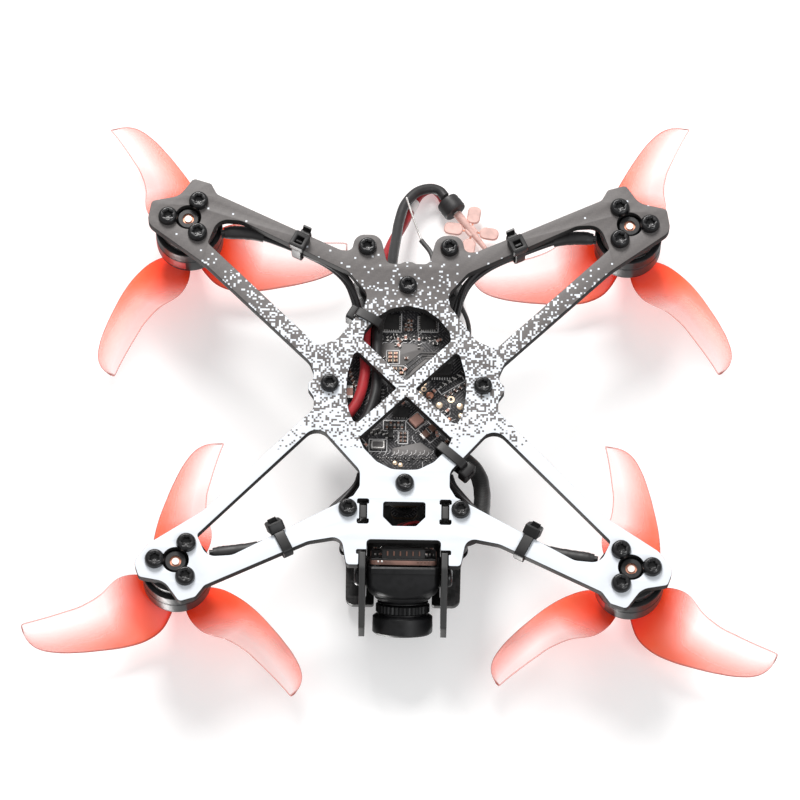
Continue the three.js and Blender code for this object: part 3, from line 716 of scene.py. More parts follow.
# ------------------------------------------------------------------ battery leads, the two cords
TAIL = shift(-8.6, 49.9, 20.8) @ Matrix.Rotation(math.atan2(-0.8, -0.6), 4, "Z")
LEAD_BLACK = [
    (10, -8.4, 3.5), (7.5, -4.2, 3.5), (6.1, 0.5, 3.5), (5.8, 5.5, 3.5), (5.9, 10, 3.5), (5.7, 15.5, 3.5),
    (4.3, 20.5, 3.5), (3.5, 26.5, 4.2), (3, 33, 8), (2.5, 38.5, 12), (2, 43.5, 15), (0.8, 48.5, 17.2),
    (-1.6, 52, 18.6), (-4.4, 53.2, 19.4), (-6.2, 52.8, 19.7), (-7.25, 51.55, 19.7),
]
LEAD_RED = [
    (12, -5, 3.5), (9.6, -1.2, 3.5), (8.3, 4.5, 3.5), (8.3, 10.5, 3.5), (8.1, 15.5, 3.5), (6.9, 20.5, 3.5),
    (6.1, 26, 4.6), (4.4, 33.6, 10.2), (3, 39.5, 15.2), (1.1, 44.5, 18), (-0.6, 49.6, 20.4),
    (-2.4, 53.2, 21.6), (-4.8, 54.4, 21.9), (-6.4, 53.1, 21.9), (-7.25, 51.55, 21.9),
]
LEAD_R = 1.05


def battery_tail():
    plug = Shape()
    plug.lathe(
        [
            (0.6, -1.8), (1.6, -1.8), (2.25, -1.5), (2.42, -1.0), (2.36, -0.5), (2.46, 0.1), (2.4, 0.7),
            (2.46, 1.2), (2.3, 1.65), (1.4, 1.8), (0.6, 1.8)
        ],
        40, TAIL @ turn(90, "Y"), closed=True)
    plug.lathe([(0, -1.6), (1.2, -1.6), (1.2, 1.7), (0, 1.7)], 20, TAIL @ turn(90, "Y"), kind=1)
    plug_piece = piece("battery_plug_look", plug, [SLEEVE, SOLDER], "frame", ["battery_plug"])
    aerial = Shape()
    aerial.tube(
        [(2.1, 0, 0), (4.5, 0, 0.05), (7.2, 0, 0.05), (9.6, 0, 0), (11.9, 0, 0)],
        [0.9, 0.82, 0.72, 0.6, 0.5], 18, TAIL
    )
    for k in range(4):
        lobe = TAIL @ shift(7, 0, 0) @ turn(45 + 90 * k) @ shift(3.7, 0, 0)
        aerial.block((3.9, 2.7, 0.66), edge=0.2, corner=1.1, place=lobe)
        aerial.tube(
            [(-1.4, -0.7, 0.36), (1.3, -0.95, 0.36), (1.55, 0, 0.36), (1.3, 0.95, 0.36), (-1.4, 0.7, 0.36)],
            0.13, 8, lobe, kind=1
        )
        aerial.tube([(-2.6, 0, 0.1), (-1.4, 0, 0.2), (1.4, 0, 0.36)], 0.2, 8, lobe, kind=1)
    aerial.block((2.2, 2.2, 0.9), at=(7, 0, 0), edge=0.2, corner=0.5, place=TAIL)
    aerial_piece = piece(
        "video_antenna_look", aerial, [PALE, COPPER_PAD], "frame", ["video_antenna"]
    )
    black, _, length_black = lead(
        "battery_lead_black_look", LEAD_BLACK, LEAD_R, SILICONE_BLACK, "frame",
        ["battery_lead_black"]
    )
    red, path, length_red = lead(
        "battery_lead_red_look", LEAD_RED, LEAD_R, SILICONE_RED, "frame", ["battery_lead_red"]
    )
    at = len(path) * 10 // 14
    band = Shape()
    band.tube(path[at - 3 : at + 3], LEAD_R + 0.12, 20)
    band_piece = piece("battery_lead_band", band, WHITE_BAND, "frame")


battery_tail()


# ------------------------------------------------------------------ plates
PLATE_HALF = [
    (0, 27.7, 0), (0.8, 27.6, 0.3), (1.6, 27.2, 0.4), (4.2, 27.2, 1.4), (5.7, 33.5, 2.4), (10.6, 33.5, 2.4),
    (11.3, 29.9, 1.3), (13.5, 30.0, 2.5), (38.6, 41.9, 1.6), (39.8, 44.2, 0.8), (43.4, 45.3, 0.9),
    (46.1, 41.4, 3.5), (51.6, 40.2, 1.0), (52.4, 35.3, 2.6), (40.3, 26.3, 12), (19.2, 5.7, 3),
    (18.3, 3.4, 1), (18.4, 1.9, 0.6), (19.3, 1.0, 0.5), (19.3, -0.3, 0.5), (18.2, -1.9, 0.8),
    (18.1, -4.4, 2), (39.1, -26.3, 8), (49.6, -33.4, 4), (52.3, -37.2, 2.2), (51.2, -40.3, 0.9),
    (46.2, -41.2, 3.5), (43.2, -45.3, 0.9), (40.1, -44.3, 0.9), (38.4, -41.9, 1.6), (18.6, -32.4, 5),
    (12.2, -31.2, 2.0), (11.1, -37.1, 0.8), (8.75, -37.1, 0.3), (8.75, -34.8, 0), (9.2, -34.8, 0.3),
    (9.2, -33.9, 0.3), (7.2, -33.9, 0), (7.2, -31.8, 0.8), (0, -31.8, 0),
]
REAR_TRIANGLE = [
    (40.1, 31.1, 0.8), (38.2, 36.4, 3.0), (33.6, 36.1, 4), (11.9, 25.3, 3.0), (8.0, 20.6, 2.5),
    (8.5, 18.0, 2.0), (13.7, 10.6, 3.5), (17.6, 9.0, 1.8),
]
FRONT_TRIANGLE = [
    (17.3, -7.6, 2.8), (8.8, -17.4, 2.5), (8.8, -20.7, 1.5), (10.0, -22.7, 0.8), (33.2, -35.5, 3.5),
    (38.2, -35.9, 2.6), (40.2, -31.4, 0.8),
]
SIDE_WINDOW = [
    (10.2, 8.5, 0.8), (1.9, 0.2, 0.3), (10.0, -7.8, 0.9), (11.3, -4.4, 2), (11.8, -0.6, 3), (11.6, 3.2, 3),
]
REAR_WINDOW = [
    (0, 18.0, 0), (3.4, 17.3, 3), (6.2, 15.3, 2.5), (8.4, 12.5, 2), (8.7, 10.5, 0.9), (0, 1.9, 0.3)
]
FRONT_WINDOW = [
    (0, -1.4, 0.5), (9.1, -10.4, 0.6), (8.1, -12.7, 1.5), (5.6, -15.4, 3), (2.6, -17.0, 3), (0, -17.1, 0)
]
NOSE_WINDOW = [(0, -23.9, 0), (4.1, -23.9, 0.5), (4.1, -27.0, 0.4), (2.3, -28.9, 0.5), (0, -28.9, 0)]
DOG_BONE = [
    (6.9, -23.3, 0.4), (6.9, -24.3, 0.3), (7.25, -24.3, 0), (7.25, -27.5, 0), (6.9, -27.5, 0.3),
    (6.9, -28.5, 0.4), (9.2, -28.5, 0.4), (9.2, -27.5, 0.3), (8.75, -27.5, 0), (8.75, -24.3, 0),
    (9.2, -24.3, 0.3), (9.2, -23.3, 0.4),
]
TOP_HALF = [
    (0, 29.0, 0), (3.6, 29.0, 1.5), (5.4, 33.7, 2.4), (11.0, 33.7, 2.6), (11.4, 27.5, 3), (9.4, 21, 6),
    (9.4, -14, 6), (11.5, -22, 6), (11.3, -37.9, 1.7), (5.7, -37.9, 0.6), (5.7, -34.4, 1.2), (0, -34.4, 0),
]
SIDE_PROFILE = [
    (-23.2, 2, 0.2), (-24.6, 2, 0), (-24.6, 0.1, 0.2), (-27.2, 0.1, 0.2), (-27.2, 2, 0), (-34.3, 2, 0),
    (-34.3, 0.1, 0.2), (-37.6, 0.1, 1), (-41.6, 4, 3), (-46.9, 8.6, 1.2), (-47.4, 12.6, 1.2),
    (-44.6, 15.6, 3), (-39.0, 19.9, 1), (-35.9, 20, 0), (-35.9, 21.4, 0.2), (-33.6, 21.4, 0.2),
    (-33.6, 20, 0), (-27.3, 20, 0), (-27.3, 21.4, 0.2), (-24.6, 21.4, 0.2), (-24.6, 20, 0),
    (-23.2, 20, 0.2), (-22.6, 11, 0),
]
SIDE_OPENING = [
    (-25.2, 3.6, 0.8), (-30.4, 3.6, 0.8), (-31.6, 11, 1.5), (-29.4, 16.8, 0.8), (-25.2, 16.8, 0.8)
]


def motor_screw_spots(sx, sy):
    return [
        (sx * (MOTOR_X + 4 * math.cos(t)), sy * MOTOR_Y + 4 * math.sin(t))
        for t in (0, TAU / 3, 2 * TAU / 3)
    ]


def plates():
    holes = [rounded(mirrored(w)) for w in (REAR_WINDOW, FRONT_WINDOW, NOSE_WINDOW)]
    for shape in (REAR_TRIANGLE, FRONT_TRIANGLE, SIDE_WINDOW, DOG_BONE):
        holes += [rounded(shape), rounded(flip(shape))]
    for sx, sy, *_ in MOTORS.values():
        holes.append(disc(sx * MOTOR_X, sy * MOTOR_Y, 2.6, 40))
        holes += [disc(x, y, 1.0, 24) for x, y in motor_screw_spots(sx, sy)]
    holes += [disc(x, y, 1.15, 24) for x, y in [*STANDOFFS.values(), *BOARD_MOUNTS.values()]]
    bottom = Shape().slab(rounded(mirrored(PLATE_HALF)), holes, 0, PLATE_T, edge=0.09)
    piece("bottom_plate_look", bottom, PRINTED, "frame", ["bottom_plate"], smooth=25)

    slots = [disc(x, y, 1.15, 24) for x, y in STANDOFFS.values()]
    for s in (1, -1):
        slots.append(rounded([(s * x, y, 1.0) for x, y in ((3.5, -6), (7, -6), (7, 14), (3.5, 14))]))
        for y0, y1 in ((-27.5, -24.4), (-36.1, -33.4)):
            slots.append(
                rounded([(s * x, y, 0.15) for x, y in ((7.3, y0), (8.7, y0), (8.7, y1), (7.3, y1))])
            )
    top = Shape().slab(rounded(mirrored(TOP_HALF)), slots, TOP_Z, TOP_Z + TOP_T, edge=0.12)
    piece("top_plate_look", top, CARBON, "frame", ["top_plate"], smooth=25)

    for side, x0 in (("left", 7.4), ("right", -8.6)):
        cheek = Shape()
        upright = Matrix(((0, 0, 1, 0), (1, 0, 0, 0), (0, 1, 0, 0), (0, 0, 0, 1)))
        cheek.slab(
            rounded(SIDE_PROFILE), [rounded(SIDE_OPENING), disc(CAM_Y, CAM_Z, 1.2, 28)], x0, x0 + 1.2, 0.09,
            upright
        )
        piece(
            f"side_plate_{side}_look", cheek, CARBON_SIDE, "frame", [f"side_plate_{side}"],
            smooth=25
        )


plates()


# ------------------------------------------------------------------ hardware
def hexalobe(t):
    return 1 + 0.14 * math.cos(6 * t)


def hexagon(t):
    return math.cos(math.pi / 6) / math.cos((t + math.pi / 6) % (math.pi / 3) - math.pi / 6)


def button_screw(head_r, head_h, shank_r, length, socket=0.50):
    """Domed cap screw with a six-lobed socket. Head below z = 0, threaded shank above."""
    s = Shape()
    r = head_r * socket
    thread = []
    z = 0.0
    while z + 0.36 < length - 0.1:
        thread += [(shank_r * 0.86, z), (shank_r, z + 0.12), (shank_r, z + 0.2), (shank_r * 0.86, z + 0.33)]
        z += 0.36
    s.lathe([
        (0, -head_h * 0.22), (r * 0.86, -head_h * 0.3, hexalobe), (r * 0.88, -head_h * 0.86, hexalobe),
        (r * 1.06, -head_h * 0.97, hexalobe), (head_r * 0.68, -head_h), (head_r * 0.74, -head_h * 0.985),
        (head_r * 0.86, -head_h * 0.86), (head_r * 0.95, -head_h * 0.62), (head_r, -head_h * 0.32),
        (head_r, -head_h * 0.12), (head_r * 0.97, 0), *thread, (shank_r * 0.8, length - 0.06), (0, length),
    ], 60)
    return s


def screws():
    kinds = {
        "plate": button_screw(1.85, 1.35, 0.95, 7.0),
        "board": button_screw(1.85, 1.35, 0.95, 13.6),
        "motor": button_screw(1.95, 1.35, 0.75, 3.6),
        "camera": button_screw(1.9, 1.0, 0.8, 2.6),
    }
    kinds = {k: s.mesh(f"{k}_screw", [BLACK_OXIDE]) for k, s in kinds.items()}
    for name, (x, y) in STANDOFFS.items():
        put(
            f"plate_screw_{name}_look", kinds["plate"], "frame", [f"plate_screw_{name}"],
            shift(x, y, 0) @ turn(17 * x)
        )
        flipped = shift(x, y, TOP_Z + TOP_T) @ turn(180, "X") @ turn(23 * y)
        put(f"top_screw_{name}_look", kinds["plate"], "frame", [f"top_screw_{name}"], flipped)
        grip = Shape()
        knurl = lambda t: 1 + 0.028 * math.cos(20 * t)
        grip.lathe([
            (1.05, 2.0), (1.6, 2.0), (1.75, 2.15), (1.75, 4.6), (1.5, 4.9), (1.5, 5.6), (1.72, 5.9, knurl),
            (1.72, 16.1, knurl), (1.5, 16.4), (1.5, 17.1), (1.75, 17.4), (1.75, 19.85), (1.6, 20.0),
            (1.05, 20.0),
        ], 80, closed=True)
        piece(
            f"standoff_{name}_look", grip, ANODISED, "frame", [f"standoff_{name}"],
            shift(x, y, 0)
        )
    for name, (x, y) in BOARD_MOUNTS.items():
        put(
            f"board_screw_{name}_look", kinds["board"], "frame", [f"board_screw_{name}"],
            shift(x, y, 0) @ turn(31 * x + 11 * y)
        )
        damper = Shape()
        for z0, z1, wide, waist in (
            (2.0, 5.0, 2.2, 1.75), (6.2, 7.4, 2.2, 2.0), (10.3, 11.5, 2.2, 2.0), (12.7, 13.3, 2.2, 2.2)
        ):
            h = z1 - z0
            damper.lathe([
                (1.0, z0), (wide * 0.93, z0), (wide, z0 + h * 0.1), (wide, z0 + h * 0.25),
                (waist, z0 + h * 0.4), (waist, z0 + h * 0.6), (wide, z0 + h * 0.75), (wide, z0 + h * 0.9),
                (wide * 0.93, z1), (1.0, z1),
            ], 32, closed=True)
        piece(f"board_damper_{name}", damper, RUBBER, "frame", place=shift(x, y, 0))
        stack = Shape()
        stack.lathe(
            [(1.0, 7.42), (1.5, 7.42), (1.6, 7.6), (1.6, 10.1), (1.5, 10.28), (1.0, 10.28)], 32, closed=True
        )
        stack.lathe(
            [
                (1.0, 13.32), (1.95, 13.32, hexagon), (2.1, 13.45, hexagon), (2.1, 14.5, hexagon),
                (1.95, 14.7, hexagon), (1.0, 14.7)
            ], 48, closed=True
        )
        piece(f"board_nut_{name}", stack, BLACK_OXIDE, "frame", place=shift(x, y, 0))
    for name, (sx, sy, *_) in MOTORS.items():
        for k, (x, y) in enumerate(motor_screw_spots(sx, sy), 1):
            node = f"motor_screw_{name}_{k}"
            put(f"{node}_look", kinds["motor"], "frame", [node], shift(x, y, 0) @ turn(40 * k + x))
    for side, s in (("left", 1), ("right", -1)):
        node = f"camera_screw_{side}"
        put(
            f"{node}_look", kinds["camera"], "camera", [node],
            shift(s * 8.62, CAM_Y, CAM_Z) @ turn(-90 * s, "Y")
        )


screws()


# ------------------------------------------------------------------ motors and propellers
MAGNETS, TEETH = 12, 9


def arc_block(shape, r0, r1, z0, z1, a0, a1, kind=0, steps=6):
    """Part of a ring: a magnet, a pole shoe or a printed band."""
    rings = []
    for k in range(steps + 1):
        t = math.radians(a0 + (a1 - a0) * k / steps)
        c, s = math.cos(t), math.sin(t)
        rings.append([(r * c, r * s, z) for r, z in ((r0, z0), (r1, z0), (r1, z1), (r0, z1))])
    shape.loft(rings, kind=kind)


def stator():
    s = Shape()
    s.slab(disc(0, 0, 5.9, 72), [disc(0, 0, 2.3, 32)], 2.0, 3.7, edge=0.15)
    s.lathe([(1.15, 0.7), (1.95, 0.7), (2.2, 0.9), (2.2, 11.0), (1.15, 11.0)], 40, closed=True, kind=0)
    for k in range(TEETH):
        at = turn(360 / TEETH * k)
        s.block((2.6, 0.9, 3.7), at=(3.3, 0, 7.5), edge=0.08, place=at, kind=1)
        shoe = Shape()
        arc_block(shoe, 4.75, 5.3, 5.4, 9.6, -17, 17)
        s.raw(shoe.verts, shoe.faces, at, 1)
        for j, r in enumerate((2.75, 3.25, 3.75, 4.25)):
            w, h = 0.75 + 0.14 * j, 2.2
            s.tube(
                [
                    (
                        r, w * math.cos(t) * 1.05,
                        7.5 + h * math.sin(t) * (1.08 if abs(math.sin(t)) > 0.5 else 0.9)
                    ) for t in [TAU * q / 14 for q in range(14)]
                ], 0.27, 8, at, 2, closed=True
            )
    return s.mesh("stator", [ANODISED, CORE, WINDING])


def bell():
    """Open bell: flux ring with its magnets, spoked crown, hub, shaft and clip."""
    s = Shape()
    s.lathe([
        (5.72, 4.35), (5.85, 4.2), (6.6, 4.2), (6.75, 4.35), (6.75, 7.0), (6.66, 7.06), (6.66, 7.14),
        (6.75, 7.2), (6.75, 10.9), (6.7, 11.15), (6.45, 11.45), (5.75, 12.1), (5.55, 12.2), (5.3, 12.2),
        (5.3, 11.3), (5.72, 11.3),
    ], 96, closed=True)
    windows = []
    for k in range(5):
        a = 72 * k
        spoke = [(3.0, -21), (5.0, -27), (5.0, 27), (3.0, 21)]
        pts = []
        for i, (r, d) in enumerate(spoke):
            r2, d2 = spoke[(i + 1) % 4]
            for q in range(5):
                rr, dd = r + (r2 - r) * q / 5, math.radians(a + d + (d2 - d) * q / 5)
                pts.append((rr * math.cos(dd), rr * math.sin(dd)))
        windows.append(pts)
    s.slab(disc(0, 0, 5.34, 96), windows + [disc(0, 0, 1.2, 32)], 11.3, 12.2, edge=0.1)
    s.lathe([(0.75, 11.3), (2.6, 11.3), (2.6, 12.9), (2.45, 13.1), (0.75, 13.1)], 48, closed=True)
    for k in range(MAGNETS):
        a = 360 / MAGNETS * k
        arc_block(s, 5.42, 5.74, 4.5, 10.6, a - 12.2, a + 12.2, kind=1)
    s.lathe([(0, 0.9), (0.66, 0.9), (0.75, 1.0), (0.75, 18.7), (0.6, 18.9), (0, 18.9)], 32, kind=2)
    s.lathe([(0, 0.82), (0.7, 0.82), (0.74, 0.95), (0, 0.95)], 24, kind=3)
    s.lathe([(0.72, 1.2), (1.7, 1.2), (1.7, 1.45), (0.72, 1.45)], 36, closed=True, kind=6)
    s.lathe([(0.72, 2.1), (1.12, 2.1), (1.12, 2.5), (0.72, 2.5)], 36, closed=True, kind=3)
    arc_block(s, 6.7, 6.79, 7.5, 10.3, -140, -15, kind=5, steps=24)
    arc_block(s, 6.7, 6.79, 7.5, 10.3, 10, 150, kind=4, steps=24)
    return s.mesh("bell", [ANODISED, MAGNET, STEEL, SHAFT_END, BAND_RED, BAND_GREY, COPPER_PAD], smooth=28)


# radius, leading and trailing angle behind the tip line, rise, thickness
BLADE = [
    (2.6, -60, 30, 2.6, 1.5), (5, -57, 30, 4.4, 1.35), (8, -52, 28, 6.2, 1.2), (11.5, -42, 20.5, 7, 1.1),
    (15, -32.5, 7.5, 6.2, 1.0), (19, -24, 2.4, 5, 0.9), (23, -18, 1.5, 4, 0.8), (27, -13, 1.3, 3, 0.7),
    (30, -8.6, 1.4, 2.2, 0.6), (31.4, -4.4, 1.5, 1.4, 0.5), (31.8, -0.6, 1.3, 0.7, 0.4),
]


def blade_at(r):
    """Blade data at a radius, on a smooth curve through the stations."""
    for i in range(len(BLADE) - 1):
        if r <= BLADE[i + 1][0] + 1e-9:
            break
    a, b = BLADE[i], BLADE[i + 1]
    before, after = BLADE[max(0, i - 1)], BLADE[min(len(BLADE) - 1, i + 2)]
    h = b[0] - a[0]
    f = (r - a[0]) / h
    out = []
    for k in range(1, 5):
        ma = (b[k] - before[k]) / max(b[0] - before[0], 1e-6) * h
        mb = (after[k] - a[k]) / max(after[0] - a[0], 1e-6) * h
        out.append(
            (2 * f**3 - 3 * f**2 + 1) * a[k] + (f**3 - 2 * f**2 + f) * ma
            + (3 * f**2 - 2 * f**3) * b[k] + (f**3 - f**2) * mb
        )
    return out


def propeller(name, way, phase):
    """Three cupped blades on a hub. way is +1 for clockwise from above."""
    verts, faces, span, rim, across = [], [], [], [], []
    chord, radii = 22, [2.6 + (PROP_R - 2.6) * (1 - (1 - i / 46) ** 1.25) for i in range(47)]
    for k in range(3):
        base = len(verts)
        for r in radii:
            lead_a, trail_a, rise, thick = blade_at(r)
            loop = []
            for j in range(2 * chord):
                f = j / chord if j <= chord else 2 - j / chord
                f = 0.5 - 0.5 * math.cos(math.pi * f)
                side = 1 if j <= chord else -1
                t = math.radians(phase + 120 * k + way * (lead_a + (trail_a - lead_a) * f))
                skin = 0.09 + thick * 0.42 * math.sin(math.pi * f) ** 0.6 * (1 - 0.25 * f)
                cup = 0.35 * math.sin(math.pi * f) * min(1, (PROP_R - r) / 12 + 0.15)
                loop.append(
                    (r * math.cos(t), r * math.sin(t), PROP_Z + rise * (0.5 - f) + cup + side * skin)
                )
                width = r * abs(math.radians(trail_a - lead_a))
                gap = min(f, 1 - f) * width
                span.append((r - 2.6) / (PROP_R - 2.6))
                rim.append(min(1.0, gap / 4.0, (PROP_R - r) / 5.0))
                across.append(f)
            verts += loop
        n = 2 * chord
        for i in range(len(radii) - 1):
            a, b = base + i * n, base + (i + 1) * n
            faces += [(a + q, a + (q + 1) % n, b + (q + 1) % n, b + q) for q in range(n)]
        faces.append(tuple(base + q for q in reversed(range(n))))
        faces.append(tuple(base + (len(radii) - 1) * n + q for q in range(n)))
    # hub, with its grip ribs on top
    hub = Shape()
    hub.lathe([
        (0.8, 13.25), (2.9, 13.25), (3.3, 13.45), (3.4, 13.9), (3.4, 17.0), (3.2, 17.5), (2.7, 17.8),
        (1.9, 17.8), (1.8, 17.6), (0.8, 17.6),
    ], 64, closed=True)
    for k in range(6):
        hub.block((1.3, 0.28, 0.5), at=(2.45, 0, 17.75), edge=0.08, place=turn(60 * k + phase))
    base = len(verts)
    verts += [tuple(v) for v in hub.verts]
    faces += [tuple(base + i for i in f) for f in hub.faces]
    span += [0.0] * len(hub.verts)
    rim += [1.0] * len(hub.verts)
    across += [0.0] * len(hub.verts)
    data = bpy.data.meshes.new(name)
    data.from_pydata([Vector(v) * MM for v in verts], [], faces)
    for key, values in (("span", span), ("rim", rim), ("chord", across)):
        data.attributes.new(key, "FLOAT", "POINT").data.foreach_set("value", values)
    work = bmesh.new()
    work.from_mesh(data)
    bmesh.ops.recalc_face_normals(work, faces=work.faces)
    work.to_mesh(data)
    work.free()
    data.materials.append(PROP)
    data.shade_smooth()
    data.set_sharp_from_angle(angle=math.radians(50))
    return data


def drives():
    still, turning = stator(), bell()
    for name, (sx, sy, way, phase) in MOTORS.items():
        at = shift(sx * MOTOR_X, sy * MOTOR_Y, 0)
        put(
            f"motor_stator_{name}", still, "frame", [f"motor_base_{name}"], at @ turn(13 * sx + 7)
        )
        rotor = f"rotor_{name}"
        put(
            f"motor_bell_{name}_look", turning, rotor, [f"motor_bell_{name}"],
            at @ turn(-35 + 20 * sx if sy < 0 else -60 - 35 * sx)
        )
        put(
            f"propeller_{name}_look", propeller(f"propeller_{name}_look", -way, phase), rotor,
            [f"propeller_{name}"], at
        )


drives()


# ------------------------------------------------------------------ boards
FC_OUTLINE = [
    (0, 25, 0), (2.6, 25, 1.2), (4.6, 21.5, 2), (12, 11.5, 3), (13, 4.6, 1), (17.3, 4.2, 1.2),
    (17.3, -2.4, 1.2), (13, -2.8, 1), (12.3, -9, 2), (4.6, -19.4, 2), (2.6, -22.6, 1.2), (0, -22.6, 0),
]
VTX_OUTLINE = [
    (0, 25, 0), (2.6, 25, 1.2), (2.6, 14, 1), (8.4, 12.5, 1), (8.4, 4, 1), (17.3, 4, 1.2),
    (17.3, -2.2, 1.2), (8.4, -2.2, 1), (7.6, -10, 1), (2.6, -12, 1), (2.6, -22.6, 1.2), (0, -22.6, 0),
]


def ribbon(shape, points, width, z, kind=0, height=0.035):
    """Flat printed line on the lower face of a board."""
    for a, b in zip(points, points[1:]):
        a, b = Vector((*a, 0)), Vector((*b, 0))
        along = b - a
        middle = shift(*((a + b) / 2).xy, z - height / 2)
        place = middle @ turn(math.degrees(math.atan2(along.y, along.x)))
        size = (along.length + width * 0.5, width, height)
        shape.block(size, edge=0.008, corner=width * 0.25, place=place, kind=kind)


def chip(shape, x, y, w, d, h, angle, z, pins=0, down=True, kind=0, pin_kind=1, sides="xy"):
    """Moulded package with its row of solder joints."""
    s = -1 if down else 1
    at = shift(x, y, z) @ turn(angle)
    shape.block((w, d, h), at=(0, 0, s * h / 2), edge=0.06, place=at, kind=kind)
    for axis in sides if pins else "":
        for end in (-1, 1):
            for k in range(pins):
                f = (k + 0.5) / pins - 0.5
                spot = (end * w / 2, f * d * 0.9) if axis == "x" else (f * w * 0.9, end * d / 2)
                size = (0.34, d * 0.45 / pins, 0.12) if axis == "x" else (w * 0.45 / pins, 0.34, 0.12)
                shape.block(size, at=(*spot, s * 0.06), edge=0.02, place=at, kind=pin_kind)


def chip_part(shape, x, y, w, d, h, angle, z, body, down=True, cap=1):
    """Two-ended ceramic part: body with soldered end caps."""
    s = -1 if down else 1
    at = shift(x, y, z) @ turn(angle)
    shape.block((w * 0.62, d, h), at=(0, 0, s * h / 2), edge=0.04, place=at, kind=body)
    for end in (-1, 1):
        shape.block(
            (w * 0.22, d * 1.04, h * 1.04), at=(end * w * 0.39, 0, s * h / 2), edge=0.05, place=at, kind=cap
        )


def pad(shape, x, y, r, z, kind, ring=False, down=True):
    s = -1 if down else 1
    at = shift(x, y, z)
    if ring:
        shape.lathe(
            [(r * 0.5, 0), (r, 0), (r, s * 0.06), (r * 0.5, s * 0.06)], 20, at, closed=True, kind=kind
        )
    else:
        shape.lathe(
            [(0, 0), (r, 0), (r * 0.92, s * 0.1), (r * 0.5, s * 0.2), (0, s * 0.24)], 20, at, kind=kind
        )


PARTS = [CHIP, SOLDER, CAP_TAN, CAP_BROWN, GOLD, COPPER_PAD, SILK, POUR]
K_CHIP, K_SOLDER, K_TAN, K_BROWN, K_GOLD, K_COPPER, K_SILK, K_POUR = range(8)


def frame_line(shape, x, y, w, d, z, angle=0.0):
    """Printed outline round a part."""
    at = shift(x, y) @ turn(angle)
    corners = [
        at @ Vector((sx * w / 2, sy * d / 2, 0)) for sx,
        sy in ((-1, -1), (1, -1), (1, 1), (-1, 1), (-1, -1))
    ]
    ribbon(shape, [c.xy for c in corners], 0.16, z, kind=K_SILK)


